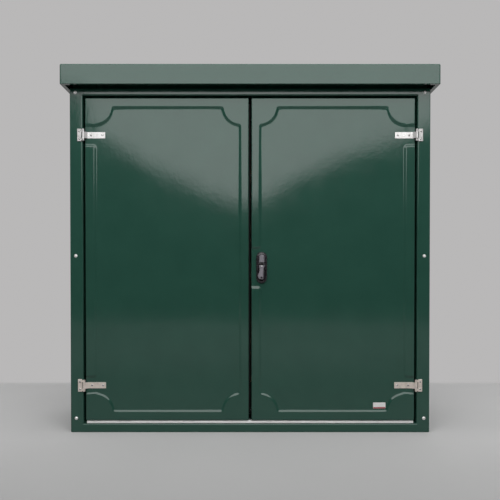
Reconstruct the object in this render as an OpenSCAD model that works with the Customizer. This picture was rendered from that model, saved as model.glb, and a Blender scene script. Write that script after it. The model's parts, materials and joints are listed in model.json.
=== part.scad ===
// Roadside cabinet with two doors, moulded in glass-fibre polyester.
// The doors face -Y, with +X to the right and +Z up, in millimetres.
// The origin lies on the ground, midway between the four anchor holes.

/* [Body] */
// Width of the body and of the front frame
body_w = 1150; // [1050:10:1250]
// Height of the body, from the ground to the roof's seat
body_h = 1100; // [1000:10:1200]
// Depth of the body, from the frame's face to the back
body_d = 400; // [340:10:500]
// Thickness of the laminate in the shell and the roof
wall = 5; // [4:0.5:6]
// Radius of the shell's two rear corners
rear_corner_r = 24; // [12:1:40]
// Width of the flange round the base
base_flange_w = 50; // [44:1:60]
// Thickness of the flange round the base
base_flange_t = 8; // [6:0.5:12]
// Width of the flange round the top
top_flange_w = 40; // [36:1:46]
// Thickness of the flange round the top
top_flange_t = 6; // [5:0.5:7]
// Diameter of the anchor holes in the base
anchor_d = 13; // [9:0.5:16]
// Distance from the body's sides to the anchor holes
anchor_side_inset = 27; // [24:1:32]
// Distance from the frame's face and from the back to the anchor holes
anchor_front_inset = 33; // [28:1:36]

/* [Front frame] */
// Thickness of the frame's face
frame_t = 6; // [5:0.5:8]
// Width of each stile
stile_w = 41.5; // [40:0.5:50]
// Height of the top rail
top_rail_h = 24; // [18:1:40]
// Height of the bottom rail
bottom_rail_h = 28; // [24:1:40]
// Radius of the edge round the doorway
doorway_edge_r = 5; // [2:0.5:5.5]
// Thickness of the reveal and of the lip behind the doors
reveal_t = 5; // [4:0.5:6]
// How far the lip reaches behind the doors
lip_overlap = 12; // [9:0.5:16]
// Distance from the frame's outer side to its screws
frame_screw_inset = 18; // [16:0.5:19]
// Height of the lowest frame screws
frame_screw_low = 45; // [40:1:60]
// Distance from the top of the frame to its highest screws
frame_screw_high = 14; // [13.5:0.5:20]

/* [Roof] */
// How far the roof overhangs each side
roof_side = 19; // [14:1:30]
// How far the roof overhangs the doors
roof_front = 45; // [30:1:60]
// How far the roof overhangs the back
roof_back = 20; // [14:1:30]
// Height of the roof's edge
fascia_h = 63; // [50:1:80]
// Rise of the roof's crown above its edge
roof_rise = 14; // [6:1:24]
// Radius of the roof's top edges
roof_edge_r = 5; // [2:0.5:8]
// Width of the turned-in lip under the roof's edge
roof_lip_w = 8; // [4:0.5:11]

/* [Doors] */
// Thickness of a door, with its liner
door_t = 30; // [28:0.5:36]
// Thickness of a door's outer skin under the recess
skin_t = 5; // [4:0.5:6]
// Thickness of a door's edge
door_wall = 7; // [5:0.5:9]
// Thickness of the flat liner that closes a door's back
liner_t = 4; // [3:0.5:5]
// Gap beside each door, where the hinges are
side_gap = 7.5; // [6.5:0.1:8]
// Gap above the doors
top_gap = 7.5; // [4:0.5:10]
// Gap below the doors, which holds the sill strip
sill_gap = 10.7; // [9.5:0.1:14]
// Gap between the two doors
meeting_gap = 9; // [8:0.5:11]
// Radius of a door's front edges
door_edge_r = 2.5; // [2:0.5:6]
// Thickness of the seal on the lip
seal_t = 5.7; // [4:0.1:8]
// Height of the sill strip
sill_h = 9.1; // [6:0.1:9.2]
// Depth of the sill strip
sill_d = 18; // [12:1:24]

/* [Door relief] */
// Depth of the sunk field
relief_d = 5; // [3:0.5:6]
// Width of the slope round the field
bevel_w = 11; // [6:0.5:13]
// Width of the raised border on the hinge side
border_hinge = 31.6; // [28:0.1:38]
// Width of the raised border on the meeting side
border_meeting = 27.5; // [25:0.5:32]
// Width of the raised border along the top
border_top = 30.5; // [26:0.5:40]
// Width of the raised border along the bottom
border_bottom = 29.8; // [26:0.1:40]
// Radius of the scallop at each corner of the field
scallop_r = 55; // [40:1:70]
// Height of the bay that holds an upper hinge
upper_bay_h = 65; // [56:1:75]
// Height of the bay that holds a lower hinge
lower_bay_h = 55; // [52:1:75]
// Height of the bay that holds the handle
lock_bay_h = 126; // [120:1:140]
// Corner radius of the raised border beside a bay
bay_corner_r = 8; // [7:0.5:10]

/* [Hinges] */
// Radius of a hinge's knuckle
knuckle_r = 4.2; // [3.8:0.1:4.6]
// Radius of a hinge pin
hinge_pin_r = 2.2; // [1.6:0.1:2.6]
// Thickness of the hinge plates
leaf_t = 3; // [2:0.5:3.5]
// Height of the leaf on the frame
leaf_h = 40; // [38:1:44]
// Width of the leaf on the frame
leaf_w = 13; // [11:0.5:14]
// Height of the strap on the door
strap_h = 19.8; // [16:0.2:22]
// Length of the strap on the door
strap_l = 63.7; // [58:0.1:75]
// Height of a whole knuckle
knuckle_h = 35; // [32:0.5:37]

/* [Handle] */
// Height of the handle's centre above the ground
lock_z = 528; // [480:1:600]
// Distance from the middle of the cabinet to the handle
lock_x = 36.9; // [34:0.1:40]
// Width of the handle's base
handle_w = 34.6; // [32:0.2:38]
// Height of the handle's base
handle_h = 101; // [96:1:110]
// Thickness of the handle's base
handle_base_t = 10; // [8:0.5:12]
// Depth of the hollow in the base behind the grip
dish_d = 6; // [3:0.5:6.5]
// Height of the spindle above the handle's centre
spindle_up = 29; // [27:0.5:31]
// Width of the hub and the top of the grip
hub_w = 16.4; // [15:0.2:18]
// Side of the square spindle
spindle_s = 8; // [7:0.5:8.5]
// How far the hub and the grip stand out of the base
grip_t = 13; // [11:0.5:15]
// Radius of the key barrel
barrel_r = 3.2; // [2.6:0.1:3.6]

/* [Lock] */
// Module of the pinion and the two racks
gear_m = 1.5; // [1.4:0.05:1.6]
// Number of teeth on the pinion
pinion_teeth = 16; // [16:2:18]
// Width of the pinion
pinion_t = 8; // [7:0.5:8.5]
// Width of a locking rod
rod_w = 10; // [8:0.5:11]
// Thickness of a locking rod
rod_t = 6; // [5:0.5:6.5]
// Space between a rod's tip and the lip it locks behind
rod_clear = 2; // [1.5:0.5:4]
// Radius of a bolt on the left door
bolt_r = 5; // [4:0.5:5.5]
// Length of a bolt on the left door
bolt_l = 96; // [90:1:120]
// Travel of a bolt on the left door
bolt_travel = 16; // [12:1:18]

/* [Board] */
// Width of the mounting board
board_w = 1000; // [800:10:1020]
// Thickness of the mounting board
board_t = 12; // [9:1:18]
// Height of the board's lower edge
board_z = 100; // [70:5:130]
// Space between the board's upper edge and the top of the body
board_top_space = 100; // [50:5:200]
// Thickness of the battens behind the board
batten_t = 18; // [12:1:25]
// Height of each batten
batten_h = 45; // [35:1:60]

/* [Hidden] */

// Colours
body_green = [0.075, 0.18, 0.145];
liner_green = [0.11, 0.22, 0.18];
steel = [0.78, 0.77, 0.75];
zinc = [0.62, 0.63, 0.62];
rubber_black = [0.05, 0.05, 0.05];
handle_black = [0.1, 0.1, 0.11];
handle_grey = [0.36, 0.35, 0.37];
plywood = [0.68, 0.52, 0.34];
timber = [0.74, 0.6, 0.42];

// How far a cutting solid passes the face it cuts
overcut = 1;
// Gap between a soft seal and the face that closes on it
soft_clear = 0.3;
// Gap round a shaft in its bore
run_clear = 0.05;
// Gap beside a sliding or turning part
side_clear = 0.3;
// Smoothness of round parts
$fn = 48;
edge_steps = 4;

// Main planes of the body
front_y = -body_d / 2;
back_y = body_d / 2;
half_w = body_w / 2;
shell_front_y = front_y + frame_t;
face_edge_r = 2.5;
face_corner_r = 3;

// The doorway and the lip behind it
doorway_half = half_w - stile_w;
doorway_low = bottom_rail_h;
doorway_high = body_h - top_rail_h;
door_hinge_x = doorway_half - side_gap;
door_meeting_x = meeting_gap / 2;
door_low = doorway_low + sill_gap;
door_high = doorway_high - top_gap;
door_back_y = front_y + door_t;
liner_front_y = door_back_y - liner_t;
lip_front_y = door_back_y + soft_clear + seal_t;
lip_back_y = lip_front_y + reveal_t;
lip_half = door_hinge_x - lip_overlap;
lip_low = door_low + lip_overlap;
lip_high = door_high - lip_overlap;
seal_margin = 1.5;
liner_margin = 1;
sill_set_back = 4;
sill_end_gap = 2;
sill_edge_rs = [1.5, 0, 2, 4];
meeting_seal_set_back = 9;
meeting_seal_d = 13;
meeting_seal_end_gap = 20;

// Screws
m6_r = 2.95;
m6_hole_r = 3.25;
m6_head_r = 5.5;
m6_head_h = 3.2;
m6_nut_af = 10;
m6_nut_t = 5;
screw_r = 2;
screw_head_r = 3.4;
screw_head_h = 1.8;
frame_screw_x = half_w - frame_screw_inset;
frame_screw_top_z = body_h - frame_screw_high;
frame_screw_zs = [frame_screw_low, (frame_screw_low + frame_screw_top_z) / 2, frame_screw_top_z];
shell_flange_w = stile_w - reveal_t - 1;

// The field sunk in each door
field_meeting_x = door_meeting_x + border_meeting;
field_hinge_x = door_hinge_x - border_hinge;
field_low = door_low + border_bottom;
field_high = door_high - border_top;
upper_bay_high = field_high - scallop_r;
upper_bay_low = upper_bay_high - upper_bay_h;
lower_bay_low = field_low + scallop_r;
lower_bay_high = lower_bay_low + lower_bay_h;
lock_bay_low = lock_z - lock_bay_h / 2;
lock_bay_high = lock_z + lock_bay_h / 2;
bay_y = front_y + relief_d;
skin_back_y = bay_y + skin_t;
scallop_steps = 14;
corner_steps = 4;
relief_steps = 6;

// Hinges
hinge_zs = [(lower_bay_low + lower_bay_high) / 2, (upper_bay_low + upper_bay_high) / 2];
hinge_inset = 2.7;
hinge_stand_off = 0.8;
leaf_from_knuckle = 2.8;
strap_bend = 4.6;
strap_fillet_r = 4;
strap_corner_rs = [1.5, 0, 0, 1.5];
pin_cap_h = 1.2;
strap_screw_near = 19;
strap_screw_far = 55;
screw_bite = 3;
hinge_x = doorway_half - hinge_inset;
hinge_y = front_y - knuckle_r - hinge_stand_off;
leaf_x = hinge_x + knuckle_r + leaf_from_knuckle;
leaf_screw_x = leaf_x + leaf_w / 2;
leaf_screw_up = 12;
strap_start_x = hinge_x - strap_bend;
strap_end_x = strap_start_x - strap_l;
strap_screw_xs = [strap_start_x - strap_screw_near, strap_start_x - strap_screw_far];

// Handle and lock
spindle_z = lock_z + spindle_up;
base_front_y = bay_y - handle_base_t;
lever_back_y = base_front_y - side_clear;
lever_front_y = base_front_y - grip_t;
sleeve_r = 11;
hub_boss_r = 8;
pivot_z = lock_z + 11.8;
handle_rim = 4.2;
base_edge_r = 4;
grip_edge_r = 2.5;
dish_edge_r = 0.6 * dish_d;
dish_h = 46;
hub_up = 12.4;
pivot_r = 4;
pivot_y = lever_back_y - pivot_r - 0.2;
lever_pin_r = 1.5;
rivet_r = 1.4;
rivet_head_r = 2.3;
rivet_l = 3.8;
keyway_w = 1;
keyway_d = 3;
tongue_w = 6;
grip_low_z = lock_z - 37;
grip_high_z = lock_z + 7.4;
dish_z = grip_low_z + 17;
rivet_z = grip_high_z - 2.6;
barrel_z = lock_z - 31.5;
barrel_x = lock_x - 0.8;
barrel_l = 9;
barrel_rise = 0.4;
case_w = 56;
case_h = 64;
case_wall = 2;
rod_front_y = lip_back_y + 1;
rod_mid_y = rod_front_y + rod_t / 2;
rod_back_y = rod_front_y + rod_t;
case_back_y = rod_back_y + 4;
cover_back_y = case_back_y + case_wall;
pitch_r = gear_m * pinion_teeth / 2;
tooth_up = 0.9 * gear_m;
tooth_down = 1.25 * gear_m;
pressure_angle = 20;
backlash = 0.2;
rack_pitch = 180 / 57.29578 * gear_m;
rod_travel = pitch_r * 90 / 57.29578;
upper_rod_x = lock_x - pitch_r - tooth_down - rod_w / 2;
lower_rod_x = lock_x + pitch_r + tooth_down + rod_w / 2;
rod_tail = 8;
guide_w = 22;
guide_h = 18;
guide_back_y = rod_back_y + 4;
guide_from_tip = rod_travel + 22;
case_screw_up = 24;
block_low_z = lock_bay_low;
block_high_z = lock_bay_high + 10;
block_w = 76;

// Bolts on the left door
bolt_x = -lock_x;
bolt_y = lip_back_y + 1 + bolt_r;
bracket_w = 34;
bracket_h = 78;
bracket_t = 3;
loop_h = 14;
loop_r = bolt_r + 3;
knob_r = 4;
knob_l = 9;
bolt_past = 10;

// Roof
roof_x = half_w + roof_side;
roof_front_y = front_y - roof_front;
roof_back_y = back_y + roof_back;
roof_edge_z = body_h + fascia_h;
roof_run = (roof_back_y - roof_front_y) / 2;
rib_t = 6;
rib_front_y = shell_front_y + top_flange_w / 2;
rib_back_y = back_y - top_flange_w / 2;
boss_r = 11;
roof_screw_xs = [-half_w + 90, 0, half_w - 90];
roof_screw_l = 20;
roof_screw_grip = roof_screw_l - top_flange_t;

// Board
board_h = body_h - board_z - board_top_space;
board_back_y = back_y - wall - batten_t;
board_front_y = board_back_y - board_t;
batten_inset = 120;
batten_end_inset = 20;
board_screw_inset = 60;
batten_zs = [board_z + batten_inset, board_z + board_h - batten_inset];
board_screw_xs = [-board_w / 2 + board_screw_inset, 0, board_w / 2 - board_screw_inset];
countersink_r = 4.2;
countersink_h = 2.4;
flush_d = 0.2;
board_screw_bite = 8;

// Points along an arc, from one angle to another
function arc_points(cx, cy, r, from, to, steps) =
    [for (i = [0:steps]) let (a = from + (to - from) * i / steps) [cx + r * cos(a), cy + r * sin(a)]];

// A corner of an outline: one point when its radius is nought
function corner(cx, cy, r, from, steps) =
    r > 0 ? arc_points(cx, cy, r, from, from + 90, steps) : [[cx, cy]];

// A rectangle whose corners have their own radii, in the order
// low left, low right, high right, high left
function rounded_outline(x0, y0, x1, y1, r, steps) = concat(
    corner(x0 + r[0], y0 + r[0], r[0], 180, steps),
    corner(x1 - r[1], y0 + r[1], r[1], 270, steps),
    corner(x1 - r[2], y1 - r[2], r[2], 0, steps),
    corner(x0 + r[3], y1 - r[3], r[3], 90, steps)
);

// Extrusions of a flat outline along each axis
module along_x(x0, x1) translate([x0, 0, 0]) rotate([90, 0, 90]) linear_extrude(x1 - x0) children();
module along_y(y0, y1) translate([0, y1, 0]) rotate([90, 0, 0]) linear_extrude(y1 - y0) children();
module along_z(z0, z1) translate([0, 0, z0]) linear_extrude(z1 - z0) children();

// A box given by its low and high corners
module box(low, high) translate(low) cube(high - low);

// A straight round bar between two heights or depths
module bar_y(x, z, y0, y1, r) translate([x, y1, z]) rotate([90, 0, 0]) cylinder(h = y1 - y0, r = r);
module bar_z(x, y, z0, z1, r) translate([x, y, z0]) cylinder(h = z1 - z0, r = r);
module bar_x(y, z, x0, x1, r) translate([x0, y, z]) rotate([0, 90, 0]) cylinder(h = x1 - x0, r = r);

// A plate in the XZ plane with round front edges and round corners
module soft_plate(x0, x1, y0, y1, z0, z1, edge_r, outline_r) {
    intersection() {
        along_z(z0, z1) polygon(rounded_outline(x0, y0, x1, y1, [edge_r, edge_r, 0, 0], edge_steps));
        along_x(x0, x1) polygon(rounded_outline(y0, z0, y1, z1, [edge_r, 0, 0, edge_r], edge_steps));
        along_y(y0, y1) polygon(rounded_outline(x0, z0, x1, z1, [1, 1, 1, 1] * outline_r, edge_steps));
    }
}

// The doorway as a solid that flares at the frame's face
module doorway_cut() {
    r = doorway_edge_r;
    plan_side = arc_points(doorway_half + r, front_y + r, r, 180, 270, edge_steps);
    plan = concat(
        [[-doorway_half, lip_front_y], [doorway_half, lip_front_y]],
        plan_side,
        [[doorway_half + r, front_y - overcut], [-doorway_half - r, front_y - overcut]],
        [for (i = [edge_steps:-1:0]) [-plan_side[i][0], plan_side[i][1]]]
    );
    side = concat(
        [[lip_front_y, doorway_high], [lip_front_y, doorway_low]],
        arc_points(front_y + r, doorway_low - r, r, 90, 180, edge_steps),
        [[front_y - overcut, doorway_low - r], [front_y - overcut, doorway_high + r]],
        arc_points(front_y + r, doorway_high + r, r, 180, 270, edge_steps)
    );
    intersection() {
        along_z(0, body_h) polygon(plan);
        along_x(-half_w, half_w) polygon(side);
    }
}

// Body

module rear_shell() {
    outer = rounded_outline(-half_w, shell_front_y, half_w, back_y, [0, 0, 1, 1] * rear_corner_r, 10);
    inner_r = rear_corner_r - wall;
    inner = rounded_outline(-half_w + wall, shell_front_y + wall, half_w - wall, back_y - wall,
        [0, 0, 1, 1] * inner_r, 10);
    mouth_x = half_w - shell_flange_w;
    color(body_green) difference() {
        along_z(0, body_h) polygon(outer);
        along_z(base_flange_t, body_h - top_flange_t) polygon(inner);
        box([-half_w + base_flange_w, shell_front_y + base_flange_w, -overcut],
            [half_w - base_flange_w, back_y - base_flange_w, base_flange_t + overcut]);
        box([-half_w + top_flange_w, shell_front_y + top_flange_w, body_h - top_flange_t - overcut],
            [half_w - top_flange_w, back_y - top_flange_w, body_h + overcut]);
        box([-mouth_x, shell_front_y - overcut, base_flange_t],
            [mouth_x, shell_front_y + wall + overcut, body_h - top_flange_t]);
        for (x = [-1, 1], y = [-1, 1])
            bar_z(x * (half_w - anchor_side_inset), y * (body_d / 2 - anchor_front_inset),
                -overcut, base_flange_t + overcut, anchor_d / 2);
        for (x = [-1, 1], z = frame_screw_zs)
            bar_y(x * frame_screw_x, z, shell_front_y - overcut, shell_front_y + wall + overcut, m6_hole_r);
        for (x = roof_screw_xs, y = [rib_front_y, rib_back_y])
            bar_z(x, y, body_h - top_flange_t - overcut, body_h + overcut, m6_hole_r);
    }
}

module front_frame() {
    color(body_green) difference() {
        union() {
            soft_plate(-half_w, half_w, front_y, shell_front_y, 0, body_h, face_edge_r, face_corner_r);
            box([-doorway_half - reveal_t, shell_front_y - overcut, doorway_low - reveal_t],
                [doorway_half + reveal_t, lip_back_y, doorway_high + reveal_t]);
        }
        doorway_cut();
        box([-lip_half, lip_front_y - overcut, lip_low], [lip_half, lip_back_y + overcut, lip_high]);
        for (x = [-1, 1], z = frame_screw_zs)
            bar_y(x * frame_screw_x, z, front_y - overcut, shell_front_y + overcut, m6_hole_r);
        for (x = [-1, 1], z = hinge_zs, s = [-1, 1])
            bar_y(x * leaf_screw_x, z + s * leaf_screw_up, front_y - overcut, shell_front_y + overcut,
                screw_r + run_clear);
    }
}

// The roof's outer form, inset by some depth on every side but the bottom
module roof_form(inset, low_z) {
    r = max(roof_edge_r - inset, 0.5);
    x = roof_x - inset;
    y0 = roof_front_y + inset;
    y1 = roof_back_y - inset;
    edge = roof_edge_z - inset;
    ridge = edge + roof_rise;
    ridge_y = (y0 + y1) / 2;
    run = roof_run;
    side = concat(
        [[y1, low_z]],
        arc_points(y1 - r, edge - r, r, 0, 90, edge_steps),
        [[ridge_y, ridge]],
        arc_points(y0 + r, edge - r, r, 90, 180, edge_steps),
        [[y0, low_z]]
    );
    front = concat(
        [[x, low_z]],
        arc_points(x - r, edge - r, r, 0, 90, edge_steps),
        [[x - run, ridge], [-x + run, ridge]],
        arc_points(-x + r, edge - r, r, 90, 180, edge_steps),
        [[-x, low_z]]
    );
    intersection() {
        along_x(-x, x) polygon(side);
        along_y(y0, y1) polygon(front);
        along_z(low_z, ridge) polygon(rounded_outline(-x, y0, x, y1, [1, 1, 1, 1] * r, edge_steps));
    }
}

module roof() {
    lip = wall + roof_lip_w;
    color(body_green) {
        difference() {
            roof_form(0, body_h);
            roof_form(wall, body_h + wall);
            box([-roof_x + lip, roof_front_y + lip, body_h - overcut],
                [roof_x - lip, roof_back_y - lip, body_h + wall + overcut]);
        }
        intersection() {
            roof_form(wall - 0.5, body_h);
            difference() {
                for (y = [rib_front_y, rib_back_y]) {
                    box([-half_w + wall, y - rib_t / 2, body_h],
                        [half_w - wall, y + rib_t / 2, roof_edge_z + roof_rise]);
                    for (x = roof_screw_xs)
                        bar_z(x, y, body_h, body_h + 30, boss_r);
                }
                for (x = roof_screw_xs, y = [rib_front_y, rib_back_y])
                    bar_z(x, y, body_h - overcut, body_h + roof_screw_grip + 2, m6_r + run_clear);
            }
        }
    }
}

module door_seal() {
    margin = seal_margin;
    color(rubber_black) difference() {
        box([-door_hinge_x + margin, lip_front_y - seal_t, door_low + margin],
            [door_hinge_x - margin, lip_front_y, door_high - margin]);
        box([-lip_half - margin, lip_front_y - seal_t - overcut, lip_low - margin],
            [lip_half + margin, lip_front_y + overcut, lip_high + margin]);
    }
}

module sill_strip() {
    y0 = front_y + sill_set_back;
    color(steel) along_x(-door_hinge_x + sill_end_gap, door_hinge_x - sill_end_gap)
        polygon(rounded_outline(y0, doorway_low, y0 + sill_d, doorway_low + sill_h, sill_edge_rs, edge_steps));
}

module mounting_board() {
    color(plywood) difference() {
        box([-board_w / 2, board_front_y, board_z], [board_w / 2, board_back_y, board_z + board_h]);
        for (x = board_screw_xs, z = batten_zs) {
            bar_y(x, z, board_front_y - overcut, board_back_y + overcut, screw_r + run_clear);
            translate([x, board_front_y, z]) countersink();
        }
    }
}

module batten(z) {
    color(timber) difference() {
        box([-board_w / 2 + batten_end_inset, board_back_y, z - batten_h / 2],
            [board_w / 2 - batten_end_inset, back_y - wall, z + batten_h / 2]);
        for (x = board_screw_xs)
            bar_y(x, z, board_back_y - overcut, board_back_y + board_screw_bite + 2, screw_r + run_clear);
    }
}

// Fasteners

// A pan-head screw whose head lies on a face, with its shank towards +Y
module pan_screw(l) {
    rotate([-90, 0, 0]) {
        cylinder(h = l, r = screw_r);
        translate([0, 0, -screw_head_h]) cylinder(h = screw_head_h, r1 = screw_head_r - 0.8, r2 = screw_head_r);
    }
}

// A dome-head screw whose head lies on a face, with its shank towards +Y
module dome_screw(l) {
    dome_r = (m6_head_r * m6_head_r + m6_head_h * m6_head_h) / (2 * m6_head_h);
    rotate([-90, 0, 0]) {
        cylinder(h = l, r = m6_r);
        difference() {
            intersection() {
                translate([0, 0, -m6_head_h]) cylinder(h = m6_head_h, r = m6_head_r);
                translate([0, 0, dome_r - m6_head_h]) sphere(r = dome_r);
            }
            translate([0, 0, -m6_head_h - overcut]) cylinder(h = overcut + 1.6, r = 2.3, $fn = 6);
        }
    }
}

module hex_nut(af, t, bore_r) {
    difference() {
        cylinder(h = t, r = af / 2 / cos(30), $fn = 6);
        translate([0, 0, -overcut]) cylinder(h = t + 2 * overcut, r = bore_r);
    }
}

// A flat-head screw that lies just below the board's face, and the hole for its head
module countersunk_screw(l) {
    rotate([-90, 0, 0]) translate([0, 0, flush_d]) {
        cylinder(h = l, r = screw_r);
        cylinder(h = countersink_h, r1 = countersink_r, r2 = screw_r);
    }
}

module countersink() {
    slope = (countersink_r - screw_r) / countersink_h;
    rotate([-90, 0, 0]) translate([0, 0, -overcut])
        cylinder(h = overcut + flush_d + countersink_h,
            r1 = countersink_r + run_clear + (overcut + flush_d) * slope, r2 = screw_r + run_clear);
}

module board_screws() {
    color(zinc) for (x = board_screw_xs, z = batten_zs)
        translate([x, board_front_y, z]) countersunk_screw(board_t + board_screw_bite);
}

module frame_screws() {
    color(steel) for (x = [-1, 1], z = frame_screw_zs)
        translate([x * frame_screw_x, front_y, z]) dome_screw(frame_t + wall + m6_nut_t + 2);
}

module frame_nuts() {
    color(zinc) for (x = [-1, 1], z = frame_screw_zs)
        translate([x * frame_screw_x, shell_front_y + wall, z]) rotate([-90, 0, 0])
            hex_nut(m6_nut_af, m6_nut_t, m6_r + run_clear);
}

module roof_screws() {
    head_h = 4;
    color(zinc) for (x = roof_screw_xs, y = [rib_front_y, rib_back_y])
        translate([x, y, body_h - top_flange_t]) {
            cylinder(h = roof_screw_l, r = m6_r);
            translate([0, 0, -head_h]) cylinder(h = head_h, r = m6_nut_af / 2 / cos(30), $fn = 6);
        }
}

// Doors, drawn as the right one

// The field's outline, grown outwards by some width. It has a scallop at each
// corner, a bay at each hinge and, on the right door, a bay at the handle.
function field_outline(grow, lock_bay) =
    let (
        r = scallop_r - grow,
        dip = asin(grow / r),
        hinge_line = field_hinge_x + grow,
        meeting_line = field_meeting_x - grow,
        past_hinge = door_hinge_x + overcut,
        past_meeting = door_meeting_x - overcut,
        c = bay_corner_r - grow,
        low = lock_bay_low - grow,
        high = lock_bay_high + grow
    )
    concat(
        arc_points(field_hinge_x, field_low, r, 180 + dip, 90, scallop_steps),
        [[past_hinge, field_low + r], [past_hinge, lower_bay_high + grow]],
        arc_points(hinge_line + c, lower_bay_high + grow + c, c, 270, 180, corner_steps),
        arc_points(hinge_line + c, upper_bay_low - grow - c, c, 180, 90, corner_steps),
        [[past_hinge, upper_bay_low - grow], [past_hinge, field_high - r]],
        arc_points(field_hinge_x, field_high, r, 270, 180 - dip, scallop_steps),
        arc_points(field_meeting_x, field_high, r, dip, -90 - dip, scallop_steps),
        lock_bay ? concat(
            arc_points(meeting_line - c, high + c, c, 0, -90, corner_steps),
            [[past_meeting, high], [past_meeting, low]],
            arc_points(meeting_line - c, low - c, c, 90, 0, corner_steps)
        ) : [],
        arc_points(field_meeting_x, field_low, r, 90 + dip, -dip, scallop_steps)
    );

// A solid through rings that all have the same number of points
module loft(rings) {
    n = len(rings[0]);
    last = len(rings) - 1;
    sides = [for (k = [0:last - 1], i = [0:n - 1]) let (j = (i + 1) % n)
        each [[k * n + i, k * n + j, (k + 1) * n + j], [k * n + i, (k + 1) * n + j, (k + 1) * n + i]]];
    front = [for (i = [n - 1:-1:0]) i];
    back = [for (i = [0:n - 1]) last * n + i];
    polyhedron([for (ring = rings) each ring], concat([front], sides, [back]));
}

// The sunk field: its wall falls in a smooth wave from the border to the floor
module relief_cut(lock_bay) {
    waves = concat(
        [[bevel_w / 2, -overcut]],
        [for (i = [0:relief_steps]) let (t = i / relief_steps)
            [bevel_w * (0.5 - t), relief_d * (1 - cos(180 * t)) / 2]]
    );
    loft([for (w = waves) [for (p = field_outline(w[0], lock_bay)) [p[0], front_y + w[1], p[1]]]]);
}

module door_skin(lock_bay) {
    color(body_green) difference() {
        soft_plate(door_meeting_x, door_hinge_x, front_y, liner_front_y, door_low, door_high,
            door_edge_r, door_edge_r);
        box([door_meeting_x + door_wall, skin_back_y, door_low + door_wall],
            [door_hinge_x - door_wall, liner_front_y + overcut, door_high - door_wall]);
        relief_cut(lock_bay);
        for (x = strap_screw_xs, z = hinge_zs)
            bar_y(x, z, bay_y - overcut, skin_back_y + overcut, screw_r + run_clear);
        if (lock_bay)
            bar_y(lock_x, spindle_z, bay_y - overcut, skin_back_y + overcut, sleeve_r + side_clear);
    }
}

module door_liner(lock_bay) {
    margin = liner_margin;
    x0 = door_meeting_x + margin;
    x1 = door_hinge_x - margin;
    z0 = door_low + margin;
    z1 = door_high - margin;
    color(liner_green) difference() {
        box([x0, liner_front_y, z0], [x1, door_back_y, z1]);
        if (lock_bay) {
            bar_y(lock_x, spindle_z, liner_front_y - overcut, door_back_y + overcut, hub_boss_r);
            for (s = [-1, 1])
                bar_y(lock_x, spindle_z + s * case_screw_up, liner_front_y - overcut, door_back_y + overcut,
                    screw_r + run_clear);
        }
    }
}

module meeting_seal() {
    x0 = -door_meeting_x;
    x1 = x0 + meeting_gap * 2 / 3;
    y0 = front_y + meeting_seal_set_back;
    color(rubber_black) along_z(door_low + meeting_seal_end_gap, door_high - meeting_seal_end_gap)
        polygon(rounded_outline(x0, y0, x1, y0 + meeting_seal_d, [0, 3, 3, 0], edge_steps));
}

// Timber between the right door's skins, which carries the lock
module lock_block() {
    x0 = door_meeting_x + door_wall + 1;
    color(timber) difference() {
        box([x0, skin_back_y, block_low_z], [x0 + block_w, liner_front_y, block_high_z]);
        bar_y(lock_x, spindle_z, skin_back_y - overcut, skin_back_y + 8, 18);
        bar_y(lock_x, spindle_z, skin_back_y, liner_front_y + overcut, hub_boss_r);
        for (s = [-1, 1])
            bar_y(lock_x, spindle_z + s * case_screw_up, liner_front_y - 4, liner_front_y + overcut,
                screw_r + run_clear);
    }
}

// Hinges, drawn on the right side

module frame_leaf(z) {
    low = strap_h / 2 + side_clear;
    color(steel) difference() {
        union() {
            translate([0, 0, z]) {
                soft_plate(leaf_x, leaf_x + leaf_w, front_y - leaf_t, front_y, -leaf_h / 2, leaf_h / 2, 1, 1.5);
                for (s = [-1, 1]) {
                    z0 = s > 0 ? low : -knuckle_h / 2;
                    z1 = s > 0 ? knuckle_h / 2 : -low;
                    bar_z(hinge_x, hinge_y, z0, z1, knuckle_r);
                    box([hinge_x, front_y - leaf_t, z0], [leaf_x + 2, front_y - hinge_stand_off, z1]);
                }
            }
        }
        bar_z(hinge_x, hinge_y, z - leaf_h, z + leaf_h, hinge_pin_r + run_clear);
        for (s = [-1, 1])
            bar_y(leaf_screw_x, z + s * leaf_screw_up, front_y - leaf_t - overcut, front_y + overcut,
                screw_r + run_clear);
    }
}

// The strap leaves the knuckle on a slope of 45 degrees and bends round onto the bay's floor
module strap(z) {
    front = bay_y - leaf_t;
    fillet_y = front - strap_fillet_r;
    touch = [hinge_x, hinge_y] - knuckle_r * [cos(45), cos(45)];
    fillet_x = touch[0] + touch[1] - fillet_y - 2 * cos(45) * strap_fillet_r;
    plan = concat(
        arc_points(hinge_x, hinge_y, knuckle_r, 270, 225, edge_steps),
        arc_points(fillet_x, fillet_y, strap_fillet_r, 45, 90, edge_steps),
        [[strap_end_x, front], [strap_end_x, bay_y]],
        arc_points(fillet_x, fillet_y, strap_fillet_r + leaf_t, 90, 45, edge_steps),
        [[hinge_x, hinge_y]]
    );
    low = z - strap_h / 2;
    high = z + strap_h / 2;
    color(steel) difference() {
        union() {
            bar_z(hinge_x, hinge_y, low, high, knuckle_r);
            intersection() {
                along_z(low, high) polygon(plan);
                along_y(hinge_y - knuckle_r - overcut, bay_y)
                    polygon(rounded_outline(strap_end_x, low, hinge_x + knuckle_r, high, strap_corner_rs, edge_steps));
            }
        }
        bar_z(hinge_x, hinge_y, low - overcut, high + overcut, hinge_pin_r + run_clear);
        for (x = strap_screw_xs)
            bar_y(x, z, front - overcut, bay_y + overcut, screw_r + run_clear);
    }
}

module hinge_pin(z) {
    cap_h = pin_cap_h;
    color(steel) {
        bar_z(hinge_x, hinge_y, z - knuckle_h / 2, z + knuckle_h / 2, hinge_pin_r);
        bar_z(hinge_x, hinge_y, z + knuckle_h / 2, z + knuckle_h / 2 + cap_h, knuckle_r - 0.6);
        bar_z(hinge_x, hinge_y, z - knuckle_h / 2 - cap_h, z - knuckle_h / 2, knuckle_r - 0.6);
    }
}

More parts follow.
